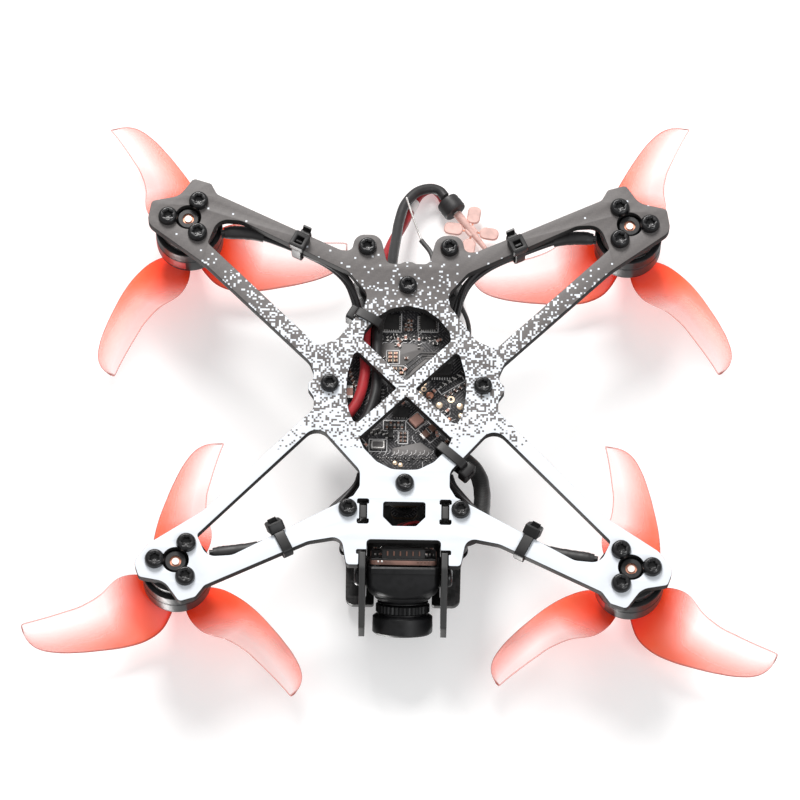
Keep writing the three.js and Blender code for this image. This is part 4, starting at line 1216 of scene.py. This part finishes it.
def flight_controller():
    plate = Shape().slab(
        rounded(mirrored(FC_OUTLINE)), [disc(x, y, 1.3, 28) for x, y in BOARD_MOUNTS.values()], FC_Z,
        FC_Z + BOARD_T, 0.05
    )
    piece(
        "flight_controller_board", plate, BOARD, "frame", ["flight_controller"], smooth=25
    )
    s = Shape()
    z = FC_Z
    random.seed(11)
    # rear window: two driver chips, the row of parts below them, copper area and its traces
    for x, y in ((3.15, 16.5), (-4.15, 16.6)):
        chip(s, x, y, 3.1, 3.1, 0.75, 0, z, pins=7)
        for k in range(7):
            s.block((0.2, 0.42, 0.2), at=(x - 1.35 + 0.45 * k, y - 1.68, z - 0.1), edge=0.03, kind=K_SOLDER)
            s.block(
                (0.42, 0.2, 0.2), at=(x + (1.68 if x < 0 else -1.68), y - 1.35 + 0.45 * k, z - 0.1),
                edge=0.03, kind=K_SOLDER
            )
        ribbon(
            s, [(x - 2.0, y + 2.0), (x - 2.0, y - 2.0), (x + 2.0, y - 2.0), (x + 2.0, y + 1.4)], 0.17, z,
            kind=K_SILK
        )
    for k in range(8):
        chip_part(
            s, -0.5 + 0.55 * (k % 3) - 0.3, 15.0 + 0.95 * (k // 3), 0.8, 0.42, 0.35, 90 * (k % 2), z,
            K_BROWN
        )
    for k in range(13):
        chip_part(
            s, -6.6 + 1.05 * k, 12.9 + 0.25 * (k % 2), 0.85, 0.45, 0.35, 90 if k % 3 else 0, z,
            K_CHIP if k % 4 else K_TAN
        )
    s.slab(
        rounded(
            [
                (x, y, 0.3) for x,
                y in ((5.3, 12.0), (-1.2, 12.0), (-3.6, 11.1), (-1.6, 8.6), (1.0, 7.2), (4.6, 8.4))
            ]
        ), [], z - 0.05, z + 0.01, 0.01, kind=K_POUR
    )
    s.slab(
        rounded(
            [
                (x, y, 0.3) for x,
                y in ((-1.4, 6.6), (-4.4, 9.6), (-7.8, 9.6), (-5.0, 6.0), (-1.0, 2.4), (0.6, 3.4))
            ]
        ), [], z - 0.045, z + 0.01, 0.01, kind=K_POUR
    )
    for k in range(5):
        d = 0.55 * k
        ribbon(
            s, [(1.2 - d, 6.3 - d), (-2.6 - d, 10.1 - d), (-7.2, 10.1 - d)], 0.16, z - 0.045,
            kind=K_SILK if k == 4 else K_POUR
        )
        ribbon(
            s, [(1.45 - d, 6.1 - d), (-2.5 - d, 9.85 - d), (-7.2, 9.85 - d)], 0.14, z - 0.05, kind=K_CHIP
        )
    for x, ys in ((3.3, (8.2, 9.0, 9.8)), (2.2, (8.2, 9.0, 9.8)), (2.3, (5.6, 6.5)), (1.0, (5.6, 6.5))):
        for y in ys:
            chip_part(s, x, y, 0.72, 0.5, 0.3, 0, z - 0.04, K_BROWN if y % 2 < 1 else K_TAN, cap=K_GOLD)
    frame_line(s, 2.75, 9.0, 2.6, 2.9, z - 0.04)
    frame_line(s, 1.65, 6.05, 2.7, 2.2, z - 0.04)
    for k in range(6):
        x, y = 5.2 - 1.9 * k, 11.6 + 0.5 * (k % 2)
        ribbon(s, [(x, y), (x - 0.6, y + 0.6), (x - 1.3, y + 0.6)], 0.13, z - 0.05, kind=K_SILK)
    # left window: capacitors, a solder pad and legend beside the leads
    chip_part(s, 11.2, 1.1, 2.7, 1.3, 0.8, 90, z, K_TAN, cap=K_SOLDER)
    for k in range(5):
        chip_part(s, 11.5 - 0.3 * k, 6.4 - 0.9 * k, 1.0, 0.5, 0.4, 45, z, K_BROWN)
    for k in range(8):
        ribbon(s, [(4.4, 2.0 - 0.75 * k), (4.9, 1.9 - 0.75 * k)], 0.16, z, kind=K_SILK)
    pad(s, 10.9, -3.2, 0.6, z, K_GOLD)
    pad(s, 9.0, -5.2, 0.6, z, K_GOLD)
    # right window: connector, diagonal row of parts, pads
    s.block((4.6, 2.3, 1.5), at=(-6.6, 6.0, z - 0.75), edge=0.12, kind=K_CHIP)
    for k in range(9):
        ribbon(s, [(-4.6 - 0.5 * k, 4.75), (-4.6 - 0.5 * k, 4.3)], 0.2, z - 0.02, kind=K_SILK)
    for k in range(5):
        x, y = -7.1 - 0.95 * k, 3.0 + 0.62 * k
        chip_part(s, x, y, 1.15, 0.55, 0.4, 122, z, K_CHIP, cap=K_SOLDER)
        chip_part(s, x - 0.8, y - 2.3, 0.9, 0.42, 0.35, 32, z, K_BROWN, cap=K_SOLDER)
    ribbon(s, [(-6.2, 2.2), (-10.9, 5.3), (-11.6, 4.1), (-7.0, 1.1), (-6.2, 2.2)], 0.17, z, kind=K_SILK)
    for x, y, r, kind, ring in (
        (-4.7, 0.9, 0.75, K_COPPER, False), (-3.5, 3.5, 0.5, K_GOLD, True), (-3.5, 2.2, 0.55, K_GOLD, True),
        (-2.7, 1.0, 0.7, K_GOLD, False), (-6.6, -1.2, 0.7, K_GOLD, False), (-8.9, 0.1, 0.72, K_GOLD, True),
        (-10.7, -1.4, 0.7, K_GOLD, False), (-10.9, -3.4, 0.55, K_GOLD, False),
        (-8.6, -4.2, 0.4, K_COPPER, False), (2.0, -13.7, 0.5, K_GOLD, False),
        (0.9, -14.1, 0.5, K_GOLD, False),
    ):
        pad(s, x, y, r, z, kind, ring)
    for k in range(6):
        ribbon(
            s, [(-5.4 - 0.6 * k, -2.6 - 0.45 * k), (-6.8 - 0.6 * k, -1.9 - 0.45 * k)], 0.1, z, kind=K_SILK
        )
    # front window: large ceramic part, brown parts, an angled chip, crystal, pad rows
    s.block((2.3, 2.1, 1.0), at=(0, 0, -0.5), edge=0.12, place=shift(-2.1, -4.7, z) @ turn(-42), kind=K_TAN)
    frame_line(s, -2.1, -4.7, 3.0, 2.8, z, -42)
    chip_part(s, -5.2, -6.4, 2.3, 1.35, 0.9, -42, z, K_BROWN, cap=K_SOLDER)
    chip_part(s, -4.0, -7.6, 2.3, 1.35, 0.9, -42, z, K_BROWN, cap=K_SOLDER)
    frame_line(s, -4.6, -7.0, 2.7, 3.8, z, -42)
    chip(s, 1.0, -3.0, 3.2, 2.0, 0.8, 0, z, pins=6, sides="y")
    for k in range(5):
        for j in range(2):
            chip_part(
                s, 3.7 - 0.75 * k, -5.2 - 0.95 * j, 0.8, 0.42, 0.35, 90, z,
                K_BROWN if (k + j) % 2 else K_CHIP
            )
    frame_line(s, 2.2, -5.7, 4.4, 2.2, z)
    for k in range(4):
        chip_part(s, 6.9 - 0.8 * k, -7.0 - 0.3 * (k % 2), 1.2, 0.6, 0.5, 65, z, K_CHIP)
    chip(s, 2.9, -7.6, 1.0, 1.9, 0.9, 0, z, pins=2, sides="x")
    s.block((2.8, 1.9, 0.7), at=(5.4, -10.0, z - 0.35), edge=0.15, corner=0.4, kind=K_SOLDER)
    s.block((2.2, 1.3, 0.75), at=(5.4, -10.0, z - 0.4), edge=0.12, corner=0.3, kind=K_POUR)
    frame_line(s, 5.4, -10.0, 3.5, 2.6, z)
    for k in range(6):
        chip_part(s, 0.1 + 0.8 * (k % 2), -7.4 - 0.8 * (k // 2), 0.6, 0.4, 0.3, 0, z, K_BROWN, cap=K_SOLDER)
    frame_line(s, 0.5, -8.2, 1.9, 2.7, z)
    s.slab(
        rounded(
            [
                (x, y, 0.4) for x,
                y in ((2.6, -10.6), (-3.0, -9.2), (-5.6, -11.2), (-4.2, -12.0), (2.4, -12.0))
            ]
        ), [], z - 0.04, z + 0.01, 0.01, kind=K_POUR
    )
    for k in range(13):
        x = 5.2 - 0.85 * k
        y = -12.6 - 0.35 * (k % 2)
        chip_part(s, x, y, 0.62, 0.34, 0.28, 90 if k % 2 else 30, z, K_CHIP, cap=K_SOLDER)
        ribbon(s, [(x, y + 0.8), (x - 0.5, y + 1.2), (x - 0.5, y + 1.7)], 0.1, z - 0.03, kind=K_SILK)
    for k in range(70):
        x, y = random.uniform(-11, 11), random.uniform(-16, 19)
        if abs(x) + max(0, abs(y) - 9) * 0.7 < 11.5:
            bend = random.choice((-1, 1))
            ribbon(
                s, [(x, y), (x + 0.7 * bend, y + 0.7), (x + 0.7 * bend, y + random.uniform(1.2, 2.4))],
                0.09, z, kind=K_SILK if k % 3 else K_POUR
            )
    for k in range(46):
        x, y = random.uniform(-10, 10), random.uniform(-14, 16)
        if abs(x) + max(0, abs(y) - 8) * 0.8 < 10.5:
            chip_part(
                s, x, y, random.choice((0.8, 1.1)), 0.5, 0.4, random.choice((0, 45, 90, 135)), z,
                random.choice((K_CHIP, K_BROWN, K_TAN))
            )
    # upper side: processor, sensor, parts along the edges
    top = FC_Z + BOARD_T
    chip(s, 0, 0.5, 7.0, 7.0, 1.1, 45, top, pins=10, down=False)
    chip(s, 6.6, 6.0, 3.0, 3.0, 0.8, 0, top, pins=5, down=False)
    chip(s, -6.8, 5.8, 3.4, 2.6, 0.9, 0, top, pins=6, down=False, sides="y")
    for k in range(26):
        a = TAU * k / 26
        chip_part(
            s, 8.6 * math.cos(a), 1.0 + 8.8 * math.sin(a), 1.1, 0.55, 0.45, math.degrees(a), top,
            (K_CHIP, K_BROWN, K_TAN)[k % 3], down=False
        )
    for k in range(8):
        pad(s, 10.9, 9.0 - 2.4 * k, 0.55, top, K_GOLD, down=False)
        pad(s, -10.9, 9.0 - 2.4 * k, 0.55, top, K_GOLD, down=False)
    piece("flight_controller_parts", s, PARTS, "frame", smooth=25)


def video_transmitter():
    plate = Shape().slab(
        rounded(mirrored(VTX_OUTLINE)), [disc(x, y, 1.3, 28) for x, y in BOARD_MOUNTS.values()], VTX_Z,
        VTX_Z + BOARD_T, 0.05
    )
    piece(
        "video_transmitter_board", plate, BOARD, "frame", ["video_transmitter"], smooth=25
    )
    s = Shape()
    z = VTX_Z + BOARD_T
    s.block((9.5, 8.0, 1.6), at=(0, 6.4, z + 0.8), edge=0.25, corner=0.7, kind=K_SOLDER)
    for k in range(4):
        s.block((0.9, 0.25, 0.1), at=(-3 + 2 * k, 10.0, z + 1.62), edge=0.02, kind=K_CHIP)
    chip(s, 0, -4.5, 4.5, 4.5, 0.9, 0, z, pins=8, down=False)
    chip(s, 0, 16.5, 2.6, 3.2, 0.9, 0, z, pins=4, down=False, sides="x")
    for k in range(22):
        chip_part(
            s, -6.8 + 1.25 * (k % 11), -0.2 - 8.6 * (k // 11), 0.95, 0.5, 0.4, 90 * (k % 2), z,
            (K_CHIP, K_BROWN, K_TAN)[k % 3], down=False
        )
    for k in range(5):
        pad(s, 11.5 + 0.01 * k, 3.0 - 1.1 * k, 0.4, z, K_GOLD, down=False)
        pad(s, -11.5, 3.0 - 1.1 * k, 0.4, z, K_GOLD, down=False)
    for k in range(14):
        chip_part(
            s, -6 + 0.95 * k, -7.6 + 0.4 * (k % 2), 0.8, 0.42, 0.35, 90 * (k % 2), VTX_Z,
            (K_CHIP, K_BROWN)[k % 2]
        )
        chip_part(
            s, -6 + 0.95 * k, 9.5 - 0.4 * (k % 3), 0.8, 0.42, 0.35, 90 * (k % 2), VTX_Z,
            (K_TAN, K_CHIP)[k % 2]
        )
    piece("video_transmitter_parts", s, PARTS, "frame", smooth=25)


flight_controller()
video_transmitter()


# ------------------------------------------------------------------ camera and lens
CAM = shift(0, CAM_Y, CAM_Z) @ turn(60, "X")


def nose_camera():
    case = Shape()
    rings = []
    for z, w, corner in (
        (-3.0, 13.7, 1.05), (-2.85, 14.0, 1.2), (0.6, 14.0, 1.2), (1.25, 13.9, 1.9), (1.9, 13.75, 3.2),
        (2.5, 13.5, 4.6), (3.0, 13.1, 5.9), (3.4, 12.3, 6.1), (3.6, 11.4, 5.7), (4.1, 10.9, 5.45),
        (4.6, 9.6, 4.8), (4.9, 9.0, 4.5),
    ):
        rings.append(box_ring(w, w, corner, z, steps=10))
    case.loft(rings)
    for sx in (1, -1):
        case.lathe(
            [(1.0, 0), (2.1, 0), (2.1, 0.35), (1.0, 0.35)], 32, shift(sx * 6.9, 0, 0) @ turn(90 * sx, "Y"),
            closed=True
        )
        for sy in (1, -1):
            case.lathe(
                [(0, 0), (0.75, 0), (0.75, 0.25), (0.4, 0.25), (0.4, 0.1), (0, 0.1)], 20,
                shift(sx * 5.7, sy * 5.7, -3.0) @ turn(180, "X")
            )
            case.lathe([(0, 0), (0.85, 0), (0.85, 1.6), (0, 1.6)], 20, shift(sx * 5.3, sy * 5.3, -4.7))
    case.slab(disc(0, 0, 5.0, 64), [disc(0, 0, 3.6, 48)], 4.7, 4.95, edge=0.08)
    case.block((12.6, 0.5, 1.2), at=(0, -6.9, -2.2), edge=0.1)
    piece("camera_body_look", case, CASE, "camera", ["camera_body"], CAM, smooth=30)

    back = Shape()
    back.slab(
        rounded([(x, y, 1.0) for x, y in ((6.5, -6.5), (6.5, 6.5), (-6.5, 6.5), (-6.5, -6.5))]), [], -4.2,
        -3.35, edge=0.06
    )
    back.block((12.6, 12.6, 0.4), at=(0, 0, -4.35), edge=0.1, kind=1)
    back.block((8.4, 2.8, 2.0), at=(0, -4.8, -5.5), edge=0.15, kind=1)
    back.block((7.4, 1.9, 0.5), at=(0, -4.8, -6.4), edge=0.1, kind=1)
    for k in range(6):
        back.block((0.3, 0.3, 0.9), at=(-3.1 + 1.24 * k, -6.3, -5.6), edge=0.06, kind=4)
    for k in range(12):
        chip_part(back, -5.5 + k, -2.0, 0.8, 0.42, 0.4, 90 * (k % 2), -4.55, (1, 3, 4)[k % 3], cap=2)
        chip_part(back, -5.5 + k, 5.6, 0.8, 0.42, 0.4, 90 * (k % 3), -4.55, (3, 1, 4)[k % 3], cap=2)
    chip(back, 0, 2.0, 4.6, 4.2, 0.8, 0, -4.55, pins=7, kind=1, pin_kind=2)
    chip(back, -4.6, 1.8, 1.9, 2.4, 0.7, 0, -4.55, pins=3, kind=1, pin_kind=2, sides="y")
    for k in range(9):
        back.block(
            (0.34, 0.3, 0.34), at=(-5.6 + 0.7 * k if k < 5 else 5.6 - 0.7 * (k - 5), -6.45, -4.0),
            edge=0.05, kind=2 if k == 6 or k == 7 else 4
        )
    piece(
        "camera_board_look", back, [CAMERA_BOARD, CHIP, SOLDER, CAP_TAN, CAP_BROWN], "camera",
        place=CAM, smooth=28
    )

    lens = Shape()
    knurl = lambda t: 1 - 0.045 * max(0.0, math.cos(36 * t))
    lens.lathe([
        (3.6, 2.8), (3.2, 2.9), (3.2, 5.2), (4.9, 5.2), (5.3, 5.35, knurl), (5.3, 6.75, knurl), (4.95, 6.9),
        (4.75, 7.0), (4.75, 7.25), (5.5, 7.45), (5.88, 7.75), (5.92, 9.8), (5.9, 10.75), (5.75, 10.9),
        (5.4, 11.18), (5.2, 11.1), (4.6, 9.7), (4.45, 9.6), (3.6, 9.4), (3.4, 9.28), (3.4, 8.6), (2.6, 8.2),
        (2.6, 2.8),
    ], 216, closed=True)
    piece("camera_lens_look", lens, CASE, "lens", ["camera_lens"], CAM, smooth=30)
    eye = Shape()
    eye.lathe(
        [
            (0, 8.3), (3.0, 8.3), (3.38, 8.7), (3.38, 9.0), (2.9, 9.3), (2.2, 9.58), (1.4, 9.78),
            (0.7, 9.88), (0, 9.9)
        ], 64
    )
    eye.lathe([(0, 3.0), (2.5, 3.0), (2.5, 3.3), (0, 3.5)], 48)
    piece("camera_lens_glass", eye, GLASS, "lens", place=CAM, smooth=60)


nose_camera()


# ------------------------------------------------------------------ cables
WIRES = {
    1: [
        (37.6, 34.6, 3.1), (35, 34.9, 3.1), (31, 34.6, 3.2), (22, 31.2, 3.2), (15.4, 27.8, 3.2),
        (12, 24.6, 3.5), (10.5, 21.4, 4.2), (9.7, 18.6, 5.2)
    ],
    -1: [
        (37.8, -34.2, 3.1), (35, -33.9, 3.1), (30, -33, 3.2), (23, -30.2, 3.2), (16, -26.8, 3.4),
        (13.5, -23.3, 4.6), (11.2, -20.6, 5.2), (9.3, -18.2, 5.2), (8.6, -16.2, 5.3)
    ],
}


def offset_path(path, radius, phase, twist=0.0):
    """A strand beside a path, at an angle round it that may turn slowly."""
    out = []
    for i, p in enumerate(path):
        along = (path[min(i + 1, len(path) - 1)] - path[max(i - 1, 0)]).normalized()
        up = Vector((0, 0, 1))
        up = (up - along * up.dot(along)).normalized()
        t = phase + twist * i / len(path)
        out.append(p + (up * math.sin(t) + along.cross(up) * math.cos(t)) * radius)
    return out


def motor_wiring():
    for name, (sx, sy, *_) in MOTORS.items():
        path = smooth_path([(sx * x, y, z) for x, y, z in WIRES[sy]], 8)
        bundle = Shape()
        for k in range(3):
            bundle.tube(offset_path(path, 0.5, TAU * k / 3 + 0.5, 3.0), 0.47, 12)
        piece(
            f"motor_wires_{name}_look", bundle, SILICONE_BLACK, "frame",
            [f"motor_wires_{name}"], smooth=50
        )
        sleeve = Shape()
        run = path[2:19]
        n = len(run)
        radius = [
            1.12 + 0.26 * min(1, 4 * min(i, n - 1 - i) / n) + 0.03 * math.sin(2.3 * i) for i in range(n)
        ]
        sleeve.tube(run, radius, 24, flat=0.85)
        piece(f"motor_wire_sleeve_{name}", sleeve, SLEEVE, "frame", smooth=50)


def camera_wiring():
    route = [
        (-8.9, -10.6, 8.9), (-12, -11.4, 9.2), (-14.5, -14.2, 9.6), (-15.3, -18, 9.4), (-15.2, -21.8, 8.4),
        (-14.9, -25.4, 6.8), (-13.8, -28.2, 5.9), (-11.3, -29.1, 5.7), (-8.2, -28.2, 5.9),
        (-6.2, -27.2, 6.2),
    ]
    path = smooth_path(route, 8)
    s = Shape()
    s.tube(path, [1.66 + 0.025 * math.sin(1.1 * i) for i in range(len(path))], 28)
    for k in (0, len(path) - 4):
        s.tube(path[k : k + 4], 1.72, 28, kind=1)
    piece("camera_cable_look", s, [BRAID, SLEEVE], "frame", ["camera_cable"], smooth=50)
    tails = Shape()
    for k in range(4):
        tails.tube(smooth_path([
            (-6.8 + 0.2 * k, -27.4 + 0.3 * k, 5.6 + 0.4 * k), (-4.6, -26.6, 5.4 + 0.5 * k),
            (-2.6 + 0.4 * k, -26.2, 4.9 + 0.4 * k), (-0.9 + 0.5 * k, -26.6, 4.6 + 0.2 * k),
            (1.2 + 0.5 * k, -27.6, 4.9),
        ], 6), 0.3, 10, kind=k % 2)
    piece("camera_cable_tails", tails, [SILICONE_RED, SILICONE_BLACK], "frame", smooth=50)

    coax = smooth_path(
        [(-5.4, 14, 8.6), (-5.2, 22, 8.6), (-5.1, 30, 9), (-4.6, 34, 9.8), (-2.5, 37.1, 10)], 8
    )
    tip = smooth_path([(-2.7, 36.8, 10), (-1.2, 41, 10), (0.6, 46.6, 10)], 8)
    aerial = Shape()
    aerial.tube(coax, 0.5, 16)
    aerial.tube(tip, 0.2, 10, kind=1)
    piece(
        "receiver_antenna_look", aerial, [GREY_COAX, SOLDER], "frame", ["receiver_antenna"],
        smooth=50
    )
    spare = Shape()
    spare.tube(
        smooth_path(
            [
                (-6.0, 31, 9.4), (-7.8, 29.2, 9.8), (-9.5, 26.2, 10), (-10.6, 23.0, 10), (-12.0, 19.6, 10),
                (-12.4, 17.2, 10), (-12.1, 14.4, 10), (-10.6, 11.6, 9.8), (-8.6, 10.0, 9.4)
            ], 6
        ), 0.45, 14
    )
    piece("transmitter_cable", spare, GREY_COAX, "frame", smooth=50)


motor_wiring()
camera_wiring()


# ------------------------------------------------------------------ cable ties
def tie(name, centre, along_deg, loop, head, tail=None, width=2.1):
    """Nylon tie. loop and head are (across, z) in the plane square to the strap's width."""
    place = shift(*centre) @ turn(along_deg)
    s = Shape()
    ring = [Vector(p) for p in smooth_path([(0, a, z) for a, z in loop + loop[:1]], 4)[:-1]]
    s.band(ring, width, 0.42, (1, 0, 0))
    a, z, tilt = head
    at = shift(0, a, z) @ turn(tilt, "X")
    s.slab(
        rounded([(x, y, 0.45) for x, y in ((1.6, -1.75), (1.6, 1.75), (-1.6, 1.75), (-1.6, -1.75))]),
        [rounded([(x, y, 0.12) for x, y in ((0.75, -0.9), (0.75, 0.7), (-0.75, 0.7), (-0.75, -0.9))])],
        -1.0, 0.9, 0.16, at)
    s.block((2.9, 3.2, 0.5), at=(0, 0, 0.55), edge=0.1, place=at)
    s.block((1.3, 0.5, 0.9), at=(0, -0.55, -0.25), edge=0.08, place=at @ turn(20, "X"))
    for k in range(3):
        s.block(
            (2.6, 0.25, 0.14), at=(0, -1.3 + 0.35 * k if k < 1 else 1.0 + 0.3 * k, -0.98), edge=0.04,
            place=at
        )
    if tail:
        s.band([(0, p, q) for p, q in tail], width * 0.86, 0.4, (1, 0, 0), closed=False)
    piece(name, s, NYLON, "frame", place=place, smooth=35)


def ties():
    arm = [
        (-2.15, -0.1), (-1.9, -0.3), (1.9, -0.3), (2.15, -0.1), (2.2, 2.0), (1.7, 3.2), (0.2, 4.5),
        (-1.9, 4.4), (-2.3, 2.2)
    ]
    for side, s in (("left", 1), ("right", -1)):
        tie(
            f"tie_rear_{side}", (s * 21.4, 31.9, 0), s * 25.6, arm, (-0.75, -0.95, 0),
            tail=[(2.2, -0.2), (2.6, -0.75), (2.7, -1.3)]
        )
    nose = [
        (-2.45, -0.05), (-2.2, -0.28), (2.2, -0.28), (2.9, 0.2), (3.25, 1.6), (3.1, 3.3), (2.1, 4.5),
        (0.4, 4.4), (-1.6, 2.7), (-2.5, 2.1)
    ]
    for side, s in (("left", 1), ("right", -1)):
        tie(
            f"tie_front_{side}", (s * 23.5, -32.4, 0), s * -27, nose, (3.5, 0.3, 55),
            tail=[(4.0, 0.8), (4.6, 0.6), (5.2, 0.1)]
        )
    lead_loop = [
        (-2.8, -0.1), (-2.4, -0.3), (2.3, -0.3), (2.65, 0.1), (2.7, 4.2), (2.4, 4.72), (-2.4, 4.72),
        (-2.8, 4.2)
    ]
    tie("tie_leads", (7.63, 15.3, 0), 119.6, lead_loop, (-3.5, 3.0, -90), width=1.9)
    body_loop = [
        (-3.2, -0.15), (-2.8, -0.3), (2.9, -0.3), (3.3, 0.0), (3.4, 3.2), (3.0, 3.6), (-2.8, 3.6),
        (-3.2, 3.2)
    ]
    tie("tie_camera_cable", (-8.98, -13.84, 0), 130.7, body_loop, (4.1, 2.2, 90), width=1.9)


ties()


# ------------------------------------------------------------------ light, floor and backdrop
def stage_plane(name, z, facing_up, half=3.0):
    """Pale surface seen and lit from one side only."""
    order = [(-half, -half), (half, -half), (half, half), (-half, half)]
    if not facing_up:
        order.reverse()
    data = bpy.data.meshes.new(name)
    data.from_pydata([(x, y, z) for x, y in order], [], [(0, 1, 2, 3)])
    n = Nodes(name)
    side = n.node("ShaderNodeNewGeometry").outputs["Backfacing"]
    n.set(Base_Color=n.mix(n.noise(n.coords(), 40), 0.72, 0.75), Roughness=0.9, Specular_IOR_Level=0.1)
    n.set(Alpha=n.math("SUBTRACT", 1.0, side), Emission_Color=1.0, Emission_Strength=0.34)
    data.materials.append(n.material)
    obj = bpy.data.objects.new(name, data)
    COLLECTION.objects.link(obj)
    obj.visible_shadow = False
    obj.visible_diffuse = False
    obj.visible_glossy = False


def area_light(name, at, size, power, colour=(1, 1, 1)):
    data = bpy.data.lights.new(name, "AREA")
    data.shape = "DISK"
    data.size = size
    data.energy = power
    data.color = colour
    obj = bpy.data.objects.new(name, data)
    COLLECTION.objects.link(obj)
    obj.location = at
    obj.rotation_euler = Vector(at).to_track_quat("Z", "Y").to_euler()
    return obj


def lighting():
    world = bpy.data.worlds.new("studio")
    SCENE.world = world
    world.use_nodes = True
    world.node_tree.nodes["Background"].inputs["Color"].default_value = (1, 1, 1, 1)
    world.node_tree.nodes["Background"].inputs["Strength"].default_value = 0.5
    area_light("key_below", (0.15, 0.85, -0.85), 0.5, 15.0, (1.0, 0.985, 0.97))
    area_light("fill_below", (-0.55, -0.5, -0.8), 0.6, 3.0, (0.97, 0.985, 1.0))
    area_light("key_above", (0.45, -0.5, 0.95), 0.5, 9.0, (1.0, 0.985, 0.97))
    area_light("fill_above", (-0.8, 0.5, 0.7), 0.7, 3.0, (0.97, 0.985, 1.0))
    SCENE.view_settings.view_transform = "Standard"
    SCENE.view_settings.look = "None"


lighting()
low, high = CAD_BOX
stage_plane("floor", low[2] - 0.0002, True)
stage_plane("backdrop", high[2] + 0.0002, False)
